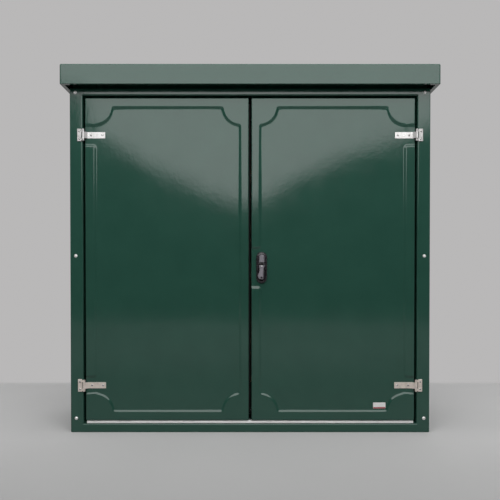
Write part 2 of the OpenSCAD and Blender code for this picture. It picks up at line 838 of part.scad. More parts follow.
module leaf_screws() {
    color(steel) for (side = [0, 1], z = hinge_zs, s = [-1, 1]) mirror([side, 0, 0])
        translate([leaf_screw_x, front_y - leaf_t, z + s * leaf_screw_up]) pan_screw(leaf_t + frame_t - 1);
}

module strap_screws() {
    color(steel) for (x = strap_screw_xs, z = hinge_zs)
        translate([x, bay_y - leaf_t, z]) pan_screw(leaf_t + skin_t + screw_bite);
}

// Handle

// A long outline with round ends
function stadium(x, z, w, h, steps) = concat(
    arc_points(x, z - h / 2 + w / 2, w / 2, 180, 360, steps),
    arc_points(x, z + h / 2 - w / 2, w / 2, 0, 180, steps)
);

// An outline drawn in by some width: each point moves along its two sides' normals
function drawn_in(points, d) = [for (i = [0:len(points) - 1]) let (
    n = len(points),
    a = points[i] - points[(i + n - 1) % n],
    b = points[(i + 1) % n] - points[i],
    na = [-a[1], a[0]] / norm(a),
    nb = [-b[1], b[0]] / norm(b)
) points[i] + d * (na + nb) / (1 + na * nb)];

// A solid from an outline in the XZ plane, whose front edge is round
module soft_front(outline, y0, y1, r) {
    rounds = [for (i = [0:edge_steps]) let (a = 90 * i / edge_steps)
        [r * (1 - sin(a)), r * (1 - cos(a))]];
    loft([for (w = concat(rounds, [[0, y1 - y0]]))
        [for (p = drawn_in(outline, w[0])) [p[0], y0 + w[1], p[1]]]]);
}

// The hollow behind the grip, whose floor meets its wall in a curve
module dish_cut() {
    r = dish_edge_r;
    outline = stadium(lock_x, dish_z, handle_w - 2 * handle_rim, dish_h, 20);
    rounds = [for (i = [0:edge_steps]) let (a = 90 * i / edge_steps)
        [r * (1 - cos(a)), dish_d - r * (1 - sin(a))]];
    loft([for (w = concat([[0, -overcut]], rounds))
        [for (p = drawn_in(outline, w[0])) [p[0], base_front_y + w[1], p[1]]]]);
}

module handle_base() {
    color(handle_black) difference() {
        union() {
            soft_front(stadium(lock_x, lock_z, handle_w, handle_h, 20), base_front_y, bay_y, base_edge_r);
            bar_y(lock_x, spindle_z, bay_y - 1, skin_back_y + 7, sleeve_r);
        }
        dish_cut();
        bar_y(lock_x, spindle_z, base_front_y - overcut, skin_back_y + 7 + overcut, hub_boss_r + run_clear);
    }
}

module hub_nut() {
    color(zinc) translate([lock_x, skin_back_y, spindle_z]) rotate([-90, 0, 0])
        hex_nut(27, 6, sleeve_r + run_clear);
}

module handle_hub() {
    low = pivot_z + pivot_r + side_clear;
    outline = concat(
        [[lock_x - hub_w / 2, low], [lock_x + hub_w / 2, low]],
        arc_points(lock_x, spindle_z + hub_up - hub_w / 2, hub_w / 2, 0, 180, 16)
    );
    color(handle_grey) difference() {
        union() {
            soft_front(outline, lever_front_y, lever_back_y, grip_edge_r);
            bar_y(lock_x, spindle_z, lever_back_y - 1, bay_y + 3, hub_boss_r);
            box([lock_x - tongue_w / 2, pivot_y - pivot_r, pivot_z],
                [lock_x + tongue_w / 2, lever_back_y, low + 1]);
            bar_x(pivot_y, pivot_z, lock_x - tongue_w / 2, lock_x + tongue_w / 2, pivot_r);
        }
        bar_x(pivot_y, pivot_z, lock_x - hub_w, lock_x + hub_w, lever_pin_r + run_clear);
        box([lock_x - spindle_s / 2 - run_clear, lever_back_y - 4, spindle_z - spindle_s / 2 - run_clear],
            [lock_x + spindle_s / 2 + run_clear, bay_y + 3 + overcut, spindle_z + spindle_s / 2 + run_clear]);
    }
}

module spindle() {
    color(zinc) box([lock_x - spindle_s / 2, lever_back_y - 4, spindle_z - spindle_s / 2],
        [lock_x + spindle_s / 2, case_back_y - 1, spindle_z + spindle_s / 2]);
}

module lever_pin() {
    color(steel) bar_x(pivot_y, pivot_z, lock_x - hub_w / 2 + 0.5, lock_x + hub_w / 2 - 0.5, lever_pin_r);
}

// The grip narrows below its top and flares at its lower left
module handle_lever() {
    side = hub_w / 2;
    top = grip_high_z - lock_z;
    bottom = grip_low_z - lock_z;
    outline = [
        [4.4, bottom], [5, -34], [5.6, -25], [6, -7], [side - 0.6, 2], [side, top], [-side, top],
        [-side + 0.4, 2], [-7, -4], [-7.2, -10], [-8.4, -16], [-11.6, -22], [-12.2, -25], [-11.6, -28.5],
        [-9.6, -33], [-7.4, bottom]
    ];
    placed = [for (p = outline) [lock_x + p[0], lock_z + p[1]]];
    ear_x = tongue_w / 2 + side_clear;
    ear_out_x = hub_w / 2 - side_clear;
    color(handle_grey) difference() {
        union() {
            soft_front(placed, lever_front_y, lever_back_y, grip_edge_r);
            for (s = [0, 1]) translate([lock_x, 0, 0]) mirror([s, 0, 0]) {
                bar_x(pivot_y, pivot_z, ear_x, ear_out_x, pivot_r);
                box([ear_x, pivot_y - pivot_r, grip_high_z - 3], [ear_out_x, lever_back_y - 0.1, pivot_z]);
            }
        }
        bar_x(pivot_y, pivot_z, lock_x - hub_w, lock_x + hub_w, lever_pin_r + run_clear);
        box([lock_x - ear_x, pivot_y - pivot_r - 1, pivot_z - pivot_r - side_clear],
            [lock_x + ear_x, lever_back_y + overcut, pivot_z + pivot_r + 1]);
        bar_y(barrel_x, barrel_z, lever_front_y - overcut, lever_front_y + barrel_l, barrel_r + run_clear);
        bar_y(lock_x, rivet_z, lever_front_y - overcut, lever_front_y + rivet_l + 0.2, rivet_r + run_clear);
    }
}

module lever_rivet() {
    color(steel) translate([lock_x, lever_front_y, rivet_z]) rotate([-90, 0, 0]) {
        cylinder(h = rivet_l, r = rivet_r);
        intersection() {
            sphere(r = rivet_head_r);
            translate([0, 0, -2]) cylinder(h = 2, r = rivet_head_r);
        }
    }
}

module key_barrel() {
    color(handle_black) difference() {
        bar_y(barrel_x, barrel_z, lever_front_y - barrel_rise, lever_front_y + barrel_l - 0.2, barrel_r);
        box([barrel_x - keyway_w / 2, lever_front_y - barrel_rise - overcut, barrel_z - 2],
            [barrel_x + keyway_w / 2, lever_front_y + keyway_d, barrel_z + 2]);
    }
}

// Lock

module lock_case() {
    z0 = spindle_z - case_h / 2;
    z1 = spindle_z + case_h / 2;
    gap = side_clear;
    color(zinc) difference() {
        box([lock_x - case_w / 2, door_back_y, z0], [lock_x + case_w / 2, case_back_y, z1]);
        difference() {
            box([lock_x - case_w / 2 + case_wall, door_back_y + case_wall, z0 + case_wall],
                [lock_x + case_w / 2 - case_wall, case_back_y + overcut, z1 - case_wall]);
            for (s = [-1, 1])
                bar_y(lock_x, spindle_z + s * case_screw_up, door_back_y, case_back_y, 4);
        }
        bar_y(lock_x, spindle_z, door_back_y - overcut, door_back_y + case_wall + overcut,
            hub_boss_r - 1 + run_clear);
        for (s = [-1, 1])
            bar_y(lock_x, spindle_z + s * case_screw_up, door_back_y - overcut, case_back_y + overcut,
                screw_r + run_clear);
        box([upper_rod_x - rod_w / 2 - gap, rod_front_y - gap, spindle_z],
            [lock_x - pitch_r + tooth_up + gap, rod_back_y + gap, z1 + overcut]);
        box([lock_x + pitch_r - tooth_up - gap, rod_front_y - gap, z0 - overcut],
            [lower_rod_x + rod_w / 2 + gap, rod_back_y + gap, spindle_z]);
    }
}

module lock_cover() {
    color(zinc) difference() {
        box([lock_x - case_w / 2, case_back_y, spindle_z - case_h / 2],
            [lock_x + case_w / 2, cover_back_y, spindle_z + case_h / 2]);
        bar_y(lock_x, spindle_z, case_back_y - overcut, cover_back_y + overcut, hub_boss_r - 1 + run_clear);
        for (s = [-1, 1])
            bar_y(lock_x, spindle_z + s * case_screw_up, case_back_y - overcut, cover_back_y + overcut,
                screw_r + run_clear);
    }
}

module case_screws() {
    color(zinc) for (s = [-1, 1]) translate([lock_x, cover_back_y, spindle_z + s * case_screw_up])
        mirror([0, 1, 0]) pan_screw(cover_back_y - liner_front_y + screw_bite);
}

// Involute teeth: half a tooth's width, as an angle, at some radius
base_r = pitch_r * cos(pressure_angle);
function involute(a) = tan(a) * 57.29578 - a;
function half_tooth(r) =
    90 / pinion_teeth - backlash / 4 / pitch_r * 57.29578
    + involute(pressure_angle) - involute(acos(base_r / max(r, base_r)));
function on_circle(r, a) = [r * cos(a), r * sin(a)];

module pinion() {
    root_r = pitch_r - tooth_down;
    tip_r = pitch_r + tooth_up;
    flank = concat([root_r], [for (i = [0:5]) base_r + (tip_r - base_r) * i / 5]);
    last = len(flank) - 1;
    outline = [for (k = [0:pinion_teeth - 1]) let (mid = k * 360 / pinion_teeth) each concat(
        [for (i = [0:last]) on_circle(flank[i], mid - half_tooth(flank[i]))],
        [for (i = [last:-1:0]) on_circle(flank[i], mid + half_tooth(flank[i]))]
    )];
    hole = spindle_s / 2 + run_clear;
    color(zinc) difference() {
        union() {
            translate([lock_x, 0, spindle_z])
                along_y(rod_mid_y - pinion_t / 2, rod_mid_y + pinion_t / 2) polygon(outline);
            bar_y(lock_x, spindle_z, door_back_y, cover_back_y, hub_boss_r - 1);
        }
        box([lock_x - hole, door_back_y - overcut, spindle_z - hole],
            [lock_x + hole, cover_back_y + overcut, spindle_z + hole]);
    }
}

// A flat bar with rack teeth that face +X. Its slots lie level with the pinion.
module rod(length) {
    half_pitch = rack_pitch / 2;
    slope = tan(pressure_angle);
    half_at_line = rack_pitch / 4 - backlash / 4;
    teeth = ceil((rod_travel + rod_tail) / rack_pitch) + 1;
    x = rod_w / 2;
    tip = 3;
    along_y(rod_front_y, rod_back_y) {
        polygon([[-x, -rod_tail], [x, -rod_tail], [x, length - tip], [x - tip, length], [-x + tip, length],
            [-x, length - tip]]);
        for (k = [-1:teeth - 1]) let (mid = half_pitch + k * rack_pitch) polygon([
            [x - 1, mid - half_at_line - slope * tooth_down], [x, mid - half_at_line - slope * tooth_down],
            [x + tooth_down + tooth_up, mid - half_at_line + slope * tooth_up],
            [x + tooth_down + tooth_up, mid + half_at_line - slope * tooth_up],
            [x, mid + half_at_line + slope * tooth_down], [x - 1, mid + half_at_line + slope * tooth_down]
        ]);
    }
}

module upper_rod() {
    color(zinc) translate([upper_rod_x, 0, spindle_z]) rod(lip_high - rod_clear - spindle_z);
}

module lower_rod() {
    color(zinc) translate([lower_rod_x, 0, spindle_z]) rotate([0, 180, 0]) rod(spindle_z - lip_low - rod_clear);
}

// A bridge on the liner that a rod slides through
module rod_guide(x, z) {
    gap = side_clear;
    color(handle_black) difference() {
        box([x - guide_w / 2, door_back_y, z - guide_h / 2], [x + guide_w / 2, guide_back_y, z + guide_h / 2]);
        box([x - rod_w / 2 - gap, rod_front_y - gap, z - guide_h],
            [x + rod_w / 2 + gap, rod_back_y + gap, z + guide_h]);
        for (s = [-1, 1])
            bar_y(x + s * (guide_w / 2 - 2.8), z, door_back_y - overcut, guide_back_y + overcut, 1.25);
    }
}

upper_guide_z = lip_high - rod_clear - guide_from_tip;
lower_guide_z = lip_low + rod_clear + guide_from_tip;

module guide_screws() {
    color(zinc) for (g = [[upper_rod_x, upper_guide_z], [lower_rod_x, lower_guide_z]], s = [-1, 1])
        translate([g[0] + s * (guide_w / 2 - 2.8), 0, g[1]]) {
            bar_y(0, 0, door_back_y, guide_back_y, 1.2);
            bar_y(0, 0, guide_back_y, guide_back_y + 1.2, 2.3);
        }
}

// Bolts on the left door, drawn as the upper one with its tip at height 0

module door_bolt() {
    color(zinc) {
        bar_z(bolt_x, bolt_y, -bolt_l, -1.5, bolt_r);
        translate([bolt_x, bolt_y, -1.5]) cylinder(h = 1.5, r1 = bolt_r, r2 = bolt_r - 1.5);
        bar_y(bolt_x, -bolt_past - bracket_h / 2 - bolt_travel / 2, bolt_y, bolt_y + bolt_r + knob_l, knob_r);
    }
}

module bolt_bracket() {
    z1 = -bolt_past;
    z0 = z1 - bracket_h;
    color(zinc) difference() {
        union() {
            box([bolt_x - bracket_w / 2, door_back_y, z0],
                [bolt_x + bracket_w / 2, door_back_y + bracket_t, z1]);
            for (z = [z0, z1 - loop_h]) {
                bar_z(bolt_x, bolt_y, z, z + loop_h, loop_r);
                box([bolt_x - loop_r, door_back_y, z], [bolt_x + loop_r, bolt_y, z + loop_h]);
            }
        }
        bar_z(bolt_x, bolt_y, z0 - overcut, z1 + overcut, bolt_r + run_clear);
        for (s = [-1, 1], z = [z0 + 24, z1 - 24])
            bar_y(bolt_x + s * (bracket_w / 2 - 5), z, door_back_y - overcut, door_back_y + bracket_t + overcut,
                screw_r + run_clear);
    }
}

module bolt_bracket_screws() {
    for (s = [-1, 1], z = [-bolt_past - 24, -bolt_past - bracket_h + 24])
        translate([bolt_x + s * (bracket_w / 2 - 5), door_back_y + bracket_t, z]) mirror([0, 1, 0])
            pan_screw(bracket_t - 0.2);
}

module at_upper_tip() translate([0, 0, lip_high - rod_clear]) children();
module at_lower_tip() translate([0, 0, lip_low + rod_clear]) mirror([0, 0, 1]) children();

module bracket_screws() {
    color(zinc) {
        at_upper_tip() bolt_bracket_screws();
        at_lower_tip() bolt_bracket_screws();
    }
}

rear_shell();
front_frame();
roof();
door_seal();
sill_strip();
mounting_board();
batten(batten_zs[1]);  // upper_batten
batten(batten_zs[0]);  // lower_batten
board_screws();
frame_screws();
frame_nuts();
roof_screws();
mirror([1, 0, 0]) door_skin(false);  // left_door_skin
mirror([1, 0, 0]) door_liner(false);  // left_door_liner
door_skin(true);  // right_door_skin
door_liner(true);  // right_door_liner
meeting_seal();
lock_block();
mirror([1, 0, 0]) frame_leaf(hinge_zs[1]);  // upper_left_leaf
mirror([1, 0, 0]) frame_leaf(hinge_zs[0]);  // lower_left_leaf
frame_leaf(hinge_zs[1]);  // upper_right_leaf
frame_leaf(hinge_zs[0]);  // lower_right_leaf
mirror([1, 0, 0]) strap(hinge_zs[1]);  // upper_left_strap
mirror([1, 0, 0]) strap(hinge_zs[0]);  // lower_left_strap
strap(hinge_zs[1]);  // upper_right_strap
strap(hinge_zs[0]);  // lower_right_strap
mirror([1, 0, 0]) hinge_pin(hinge_zs[1]);  // upper_left_pin
mirror([1, 0, 0]) hinge_pin(hinge_zs[0]);  // lower_left_pin
hinge_pin(hinge_zs[1]);  // upper_right_pin
hinge_pin(hinge_zs[0]);  // lower_right_pin
leaf_screws();
mirror([1, 0, 0]) strap_screws();  // left_strap_screws
strap_screws();  // right_strap_screws
handle_base();
hub_nut();
handle_hub();
spindle();
lever_pin();
handle_lever();
lever_rivet();
key_barrel();
lock_case();
lock_cover();
case_screws();
pinion();
upper_rod();
lower_rod();
rod_guide(upper_rod_x, upper_guide_z);  // upper_rod_guide
rod_guide(lower_rod_x, lower_guide_z);  // lower_rod_guide
guide_screws();
at_upper_tip() door_bolt();  // upper_bolt
at_lower_tip() door_bolt();  // lower_bolt
at_upper_tip() bolt_bracket();  // upper_bolt_bracket
at_lower_tip() bolt_bracket();  // lower_bolt_bracket
bracket_screws();
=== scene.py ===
import bpy
import bmesh
import json
import math
import numpy as np
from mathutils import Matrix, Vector


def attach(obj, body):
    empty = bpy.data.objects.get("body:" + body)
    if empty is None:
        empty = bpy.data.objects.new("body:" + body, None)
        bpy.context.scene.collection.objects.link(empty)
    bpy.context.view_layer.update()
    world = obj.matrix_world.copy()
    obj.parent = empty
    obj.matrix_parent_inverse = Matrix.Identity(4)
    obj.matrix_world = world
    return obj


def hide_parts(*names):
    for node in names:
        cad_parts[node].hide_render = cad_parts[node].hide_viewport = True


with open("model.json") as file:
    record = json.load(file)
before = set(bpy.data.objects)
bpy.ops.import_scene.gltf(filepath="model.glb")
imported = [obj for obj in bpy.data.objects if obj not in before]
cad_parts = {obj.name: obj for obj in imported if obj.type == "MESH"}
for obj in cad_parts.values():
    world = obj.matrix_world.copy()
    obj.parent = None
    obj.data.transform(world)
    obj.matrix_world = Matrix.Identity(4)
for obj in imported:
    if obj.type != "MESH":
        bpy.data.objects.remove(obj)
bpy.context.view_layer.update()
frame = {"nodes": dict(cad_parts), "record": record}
nodes = frame["nodes"]
print("frame loaded:", len(nodes), "nodes")

# Helpers for meshes, which work in millimetres until makePiece
meshing = dict(smoothAngle=32, doorSmoothAngle=40, mergeWithin=2e-6, thinnest=1e-6)
# How far a cutter passes the faces that it cuts
past = 2


# Quads between the rows of a grid of points, which may close on itself either way
def gridFaces(rows, columns, closeRows=False, closeColumns=False):
    i = np.arange(rows if closeRows else rows - 1)[:, None]
    j = np.arange(columns if closeColumns else columns - 1)[None, :]
    nextRow, nextColumn = (i + 1) % rows, (j + 1) % columns
    corners = [i * columns + j, i * columns + nextColumn,
               nextRow * columns + nextColumn, nextRow * columns + j]
    return np.stack(np.broadcast_arrays(*corners), -1).reshape(-1, 4).tolist()


# Several shells of (points, faces) as one
def joinShells(shells):
    points, faces, start = [], [], 0
    for shellPoints, shellFaces in shells:
        shellPoints = np.asarray(shellPoints, float).reshape(-1, 3)
        points.append(shellPoints)
        faces += [[start + index for index in face] for face in shellFaces]
        start += len(shellPoints)
    return np.concatenate(points), faces


# Rings of the same length joined into a shell; the first and last are capped or joined to each other
def shellFromRings(rings, joinEnds=False):
    rings = np.asarray(rings, float)
    count, around = rings.shape[:2]
    faces = gridFaces(count, around, closeRows=joinEnds, closeColumns=True)
    if not joinEnds:
        faces += [list(range(around))[::-1], list(range((count - 1) * around, count * around))]
    return rings.reshape(-1, 3), faces


# A rounded rectangle as angles round four corner circles: each circle's centre is inset by its radius
def roundedRing(low, high, radii, steps=6):
    (a0, b0), (a1, b1) = low, high
    radii = np.broadcast_to(np.asarray(radii, float), 4)
    centres = np.array([[a0, b0], [a1, b0], [a1, b1], [a0, b1]], float)
    centres += radii[:, None] * np.array([[1, 1], [-1, 1], [-1, -1], [1, -1]])
    angles = np.radians(np.array([180, 270, 0, 90])[:, None] + np.linspace(0, 90, steps + 1))
    ring = centres[:, None] + radii[:, None, None] * np.stack([np.cos(angles), np.sin(angles)], -1)
    return ring.reshape(-1, 2)


# A ring of (a, b) points at one level of the third axis
def placeRing(ring, axis, level):
    return np.insert(ring, {"x": 0, "y": 1, "z": 2}[axis], level, axis=1)


# A stadium: half circles of radius w / 2 whose centres lie h - w apart
def stadiumRing(x, z, w, h, steps=24):
    angles = np.radians(np.concatenate([np.linspace(0, 180, steps), np.linspace(180, 360, steps)]))
    lift = np.repeat([1, -1], steps) * (h - w) / 2
    return np.stack([x + w / 2 * np.cos(angles), z + lift + w / 2 * np.sin(angles)], -1)


# A round bar along an axis: circles of the profile's radii at the profile's levels
def latheShell(axis, centre, profile, steps=40):
    angles = np.linspace(0, 2 * np.pi, steps, endpoint=False)
    circle = np.stack([np.cos(angles), np.sin(angles)], -1)
    rings = [placeRing(np.asarray(centre) + radius * circle, axis, level) for level, radius in profile]
    return shellFromRings(rings)


# A round bar of one radius at each place, from the start to the end
def roundBars(axis, places, start, end, radius, steps=20):
    return [latheShell(axis, place, [(start, radius), (end, radius)], steps) for place in places]


# A box: one rectangle over another
def boxShell(low, high):
    ring = roundedRing(low[:2], high[:2], 0, 1)[::2]
    return shellFromRings([placeRing(ring, "z", low[2]), placeRing(ring, "z", high[2])])


# Takes the piece's modifiers into its mesh
def bake(piece):
    baked = bpy.data.meshes.new_from_object(piece.evaluated_get(bpy.context.evaluated_depsgraph_get()))
    piece.modifiers.clear()
    old, piece.data = piece.data, baked
    bpy.data.meshes.remove(old)


# Smooth but for its sharp edges, with each point's normal weighted towards its largest face
def smooth(piece, angle):
    piece.data.shade_smooth()
    piece.data.set_sharp_from_angle(angle=math.radians(angle))
    weigh = piece.modifiers.new("weigh", "WEIGHTED_NORMAL")
    weigh.mode, weigh.weight, weigh.keep_sharp = "FACE_AREA", 100, True
    bake(piece)


# An object from a shell, merged, with outward normals
def makePiece(name, shell, smoothAngle=meshing["smoothAngle"]):
    points, faces = shell
    mesh = bpy.data.meshes.new(name)
    metres = np.asarray(points) * 0.001
    mesh.from_pydata(metres.tolist(), [], [list(face) for face in faces])
    work = bmesh.new()
    work.from_mesh(mesh)
    bmesh.ops.remove_doubles(work, verts=work.verts, dist=meshing["mergeWithin"])
    bmesh.ops.dissolve_degenerate(work, edges=work.edges, dist=meshing["thinnest"])
    bmesh.ops.recalc_face_normals(work, faces=work.faces)
    work.to_mesh(mesh)
    work.free()
    piece = bpy.data.objects.new(name, mesh)
    bpy.context.scene.collection.objects.link(piece)
    smooth(piece, smoothAngle)
    return piece


# Cuts shells out of a piece
def carve(piece, shells, smoothAngle=meshing["smoothAngle"]):
    cutter = makePiece("cutter", joinShells(shells))
    cut = piece.modifiers.new("carve", "BOOLEAN")
    cut.operation, cut.solver, cut.object = "DIFFERENCE", "EXACT", cutter
    cut.use_self = False
    bake(piece)
    bpy.data.objects.remove(cutter)
    smooth(piece, smoothAngle)
    return piece


# Puts a piece on its body, with its finish, in place of its CAD node
def fitPiece(piece, body, slot, finish, *replaced):
    piece.data.materials.clear()
    piece.data.materials.append(finish)
    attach(piece, body)
    if replaced:
        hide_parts(*replaced)
    return piece


# The nodes of one tree, each made in one call with its inputs and its settings
class NodeSet:
    def __init__(self, tree):
        self.tree = tree
        tree.nodes.clear()

    def add(self, kind, inputs=None, **settings):
        made = self.tree.nodes.new(kind)
        for name, value in settings.items():
            setattr(made, name, value)
        for socket, value in (inputs or {}).items():
            if isinstance(value, bpy.types.NodeSocket):
                self.tree.links.new(value, made.inputs[socket])
            else:
                made.inputs[socket].default_value = value
        return made

    def combine(self, operation, first, second):
        return self.add("ShaderNodeMath", {0: first, 1: second}, operation=operation).outputs[0]

    # 1 where the camera sees the place straight, mirrored or through something, else 0
    def seen(self):
        rays = self.add("ShaderNodeLightPath").outputs
        either = self.combine("MAXIMUM", rays["Is Camera Ray"], rays["Is Glossy Ray"])
        return self.combine("MAXIMUM", either, rays["Is Transmission Ray"])


# A material and the nodes that make it
class Finish(NodeSet):
    def __init__(self, name):
        self.material = bpy.data.materials.new(name)
        self.material.use_nodes = True
        super().__init__(self.material.node_tree)
        self.output = self.add("ShaderNodeOutputMaterial")
        self.place = self.add("ShaderNodeTexCoord").outputs["Object"]

    # Noise whose features are about size metres across, stretched by the scale of each axis
    def noise(self, size, detail=2.0, stretch=(1, 1, 1), roughness=0.5):
        place = self.place
        if stretch != (1, 1, 1):
            place = self.add("ShaderNodeMapping", {"Vector": place, "Scale": stretch}).outputs[0]
        return self.add("ShaderNodeTexNoise", {"Vector": place, "Scale": 1 / size, "Detail": detail,
                                               "Roughness": roughness}).outputs["Fac"]

    # A value that goes from low to high as the input goes from start to end
    def spread(self, value, low, high, start=0.3, end=0.7):
        return self.add("ShaderNodeMapRange", {"Value": value, "From Min": start, "From Max": end,
                                               "To Min": low, "To Max": high}).outputs[0]

    # Sockets 6 and 7 of the node are its two colours, and its output 2 is the mixed one
    def mix(self, share, first, second, blend="MIX"):
        pair = [value if isinstance(value, bpy.types.NodeSocket) else (*value, 1)
                for value in (first, second)]
        return self.add("ShaderNodeMix", {"Factor": share, 6: pair[0], 7: pair[1]},
                        data_type="RGBA", blend_type=blend).outputs[2]

    # A bump of the given height in metres, on top of another bump
    def bump(self, height, depth, under=None):
        inputs = {"Height": height, "Strength": 1.0, "Distance": depth}
        if under is not None:
            inputs["Normal"] = under
        return self.add("ShaderNodeBump", inputs).outputs[0]

    # Puts a shader on the surface and gives the finished material
    def surface(self, shader):
        self.tree.links.new(shader.outputs[0], self.output.inputs["Surface"])
        return self.material

    def shader(self, **values):
        inputs = {name.replace("_", " "): value for name, value in values.items()}
        return self.surface(self.add("ShaderNodeBsdfPrincipled", inputs))


# The scale that draws a noise out along one axis
def stretchAlong(axis, share):
    return tuple(share if name == axis else 1 for name in "xyz")


# Moulded gelcoat: one deep colour with faint clouding, a slow waviness, ripples and fine orange peel
gelcoat = dict(color=(0.0168, 0.0615, 0.0440), cloudColor=(0.0195, 0.0680, 0.0490), cloudSize=0.09,
               wave=0.00028, waveSize=0.15, ripple=0.000095, rippleSize=0.012, rippleStretch=(1.4, 1, 1),
               peel=0.0000020, peelSize=0.0035, roughSize=0.05, roughLow=0.07, roughHigh=0.12, ior=1.45)
linerCoat = dict(gelcoat, color=(0.022, 0.066, 0.047), cloudColor=(0.030, 0.080, 0.058), peel=0.00003,
                 peelSize=0.006, roughLow=0.3, roughHigh=0.45)


def makeGelcoat(name, s):
    finish = Finish(name)
    clouds = finish.spread(finish.noise(s["cloudSize"], 4), 0, 1)
    waves = finish.bump(finish.noise(s["waveSize"], 1), s["wave"])
    ripples = finish.bump(finish.noise(s["rippleSize"], 2, s["rippleStretch"]), s["ripple"], waves)
    peel = finish.bump(finish.noise(s["peelSize"], 2), s["peel"], ripples)
    rough = finish.spread(finish.noise(s["roughSize"], 5), s["roughLow"], s["roughHigh"])
    return finish.shader(Base_Color=finish.mix(clouds, s["color"], s["cloudColor"]), Roughness=rough,
                         Normal=peel, IOR=s["ior"])


# Metal with fine lines along one axis and worn marks
brushed = dict(lineSize=0.0006, lineShare=0.03, markSize=0.012, markStart=0.45, markEnd=0.75)


def makeBrushed(name, color, worn, along="x", roughLow=0.24, roughHigh=0.38, depth=0.000004, metal=1.0):
    finish = Finish(name)
    lines = finish.noise(brushed["lineSize"], 3, stretchAlong(along, brushed["lineShare"]))
    marks = finish.noise(brushed["markSize"], 4)
    marks = finish.spread(marks, 0, 1, brushed["markStart"], brushed["markEnd"])
    return finish.shader(Base_Color=finish.mix(marks, color, worn), Metallic=metal,
                         Roughness=finish.spread(lines, roughLow, roughHigh),
                         Normal=finish.bump(lines, depth))


# Zinc plate: small crystals that differ a little in tone, under dull patches
zinc = dict(color=(0.46, 0.47, 0.46), dullColor=(0.33, 0.335, 0.33), crystals=420.0, crystalShare=0.16,
            patchSize=0.02, patchCover=0.5, roughSize=0.004, roughLow=0.32, roughHigh=0.5, metal=0.9)


def makeZinc(name, s):
    finish = Finish(name)
    crystals = finish.add("ShaderNodeTexVoronoi", {"Vector": finish.place, "Scale": s["crystals"]})
    tone = finish.mix(s["crystalShare"], s["color"], crystals.outputs["Color"], "OVERLAY")
    patches = finish.spread(finish.noise(s["patchSize"], 3), 0, s["patchCover"])
    rough = finish.spread(finish.noise(s["roughSize"], 3), s["roughLow"], s["roughHigh"])
    return finish.shader(Base_Color=finish.mix(patches, tone, s["dullColor"]), Metallic=s["metal"],
                         Roughness=rough)


# Moulded plastic, rubber or paint: clouded a little, with a fine grain
grained = dict(cloudSize=0.03, roughSize=0.01)


def makeGrained(name, color, cloud, grain, grainSize, roughLow, roughHigh, ior=1.48):
    finish = Finish(name)
    clouds = finish.spread(finish.noise(grained["cloudSize"], 4), 0, 1)
    rough = finish.spread(finish.noise(grained["roughSize"], 4), roughLow, roughHigh)
    return finish.shader(Base_Color=finish.mix(clouds, color, cloud), Roughness=rough,
                         Normal=finish.bump(finish.noise(grainSize, 2), grain), IOR=ior)


# Wood: rings stretched along the grain, with fine dark pores
wood = dict(ringShare=0.06, ringRoughness=0.6, ringStart=0.35, ringEnd=0.65, poreSize=0.0012,
            poreShare=0.02, poreDepth=0.0001, poreTone=0.5, poreCover=0.35, poreStart=0.55, poreEnd=0.75,
            roughLow=0.55, roughHigh=0.75)


def makeWood(name, pale, dark, along, ringSize):
    finish = Finish(name)
    rings = finish.noise(ringSize, 4, stretchAlong(along, wood["ringShare"]), wood["ringRoughness"])
    pores = finish.noise(wood["poreSize"], 3, stretchAlong(along, wood["poreShare"]))
    tone = finish.mix(finish.spread(rings, 0, 1, wood["ringStart"], wood["ringEnd"]), pale, dark)
    poreColor = tuple(wood["poreTone"] * part for part in dark)
    cover = finish.spread(pores, 0, wood["poreCover"], wood["poreStart"], wood["poreEnd"])
    tone = finish.mix(cover, tone, poreColor)
    return finish.shader(Base_Color=tone, Normal=finish.bump(pores, wood["poreDepth"]),
                         Roughness=finish.spread(pores, wood["roughLow"], wood["roughHigh"]))


greenGelcoat = makeGelcoat("green_gelcoat", gelcoat)
linerGelcoat = makeGelcoat("liner_gelcoat", linerCoat)
brightSteel = makeBrushed("bright_steel", (0.56, 0.555, 0.55), (0.45, 0.44, 0.43), metal=0.85)
# A warm copy of the hinge steel for the lower hinges: its pinkish tone is a painted reflection of the ground
pinkReflectionSteel = makeBrushed("pink_reflection_steel", (0.86, 0.77, 0.70), (0.70, 0.62, 0.56), "x", 0.3, 0.44, metal=0.75)
# A darker copy of the hinge steel for the upper leaves: painted shade
shadedLeafSteel = makeBrushed("shaded_leaf_steel", (0.45, 0.445, 0.44), (0.28, 0.275, 0.27), "z", 0.3, 0.45, 0.00001, 0.85)
screwSteel = makeBrushed("screw_steel", (0.50, 0.49, 0.48), (0.38, 0.37, 0.36), "y", 0.16, 0.28)
# A paler, less metallic copy of the screw steel for the frame's dome heads: painted light, so the whole dome
# reads as lit
litDomeSteel = makeBrushed("lit_dome_steel", (0.84, 0.83, 0.82), (0.72, 0.71, 0.70), "y", 0.3, 0.44, metal=0.55)
# A near-white copy of the steel for the lever's rivet: a painted highlight, the bright dot on the lever
glintRivetSteel = makeBrushed("glint_rivet_steel", (0.92, 0.92, 0.91), (0.85, 0.85, 0.84), "y", 0.3, 0.4, metal=0.4)
sillAluminium = makeBrushed("sill_aluminium", (0.85, 0.84, 0.835), (0.78, 0.77, 0.76), "x", 0.3, 0.42,
                            metal=0.35)
zincPlate = makeZinc("zinc_plate", zinc)
sealRubber = makeGrained("seal_rubber", (0.0035, 0.0035, 0.0035), (0.006, 0.006, 0.006),
                         0.00003, 0.0012, 0.75, 0.9, 1.2)
handleBlack = makeGrained("handle_black", (0.011, 0.009, 0.012), (0.016, 0.013, 0.017),
                          0.000012, 0.0008, 0.22, 0.32)
handleGrey = makeGrained("handle_grey", (0.160, 0.151, 0.171), (0.190, 0.179, 0.202),
                         0.000012, 0.0008, 0.3, 0.42)
boardPlywood = makeWood("board_plywood", (0.56, 0.40, 0.24), (0.40, 0.26, 0.14), "x", 0.03)
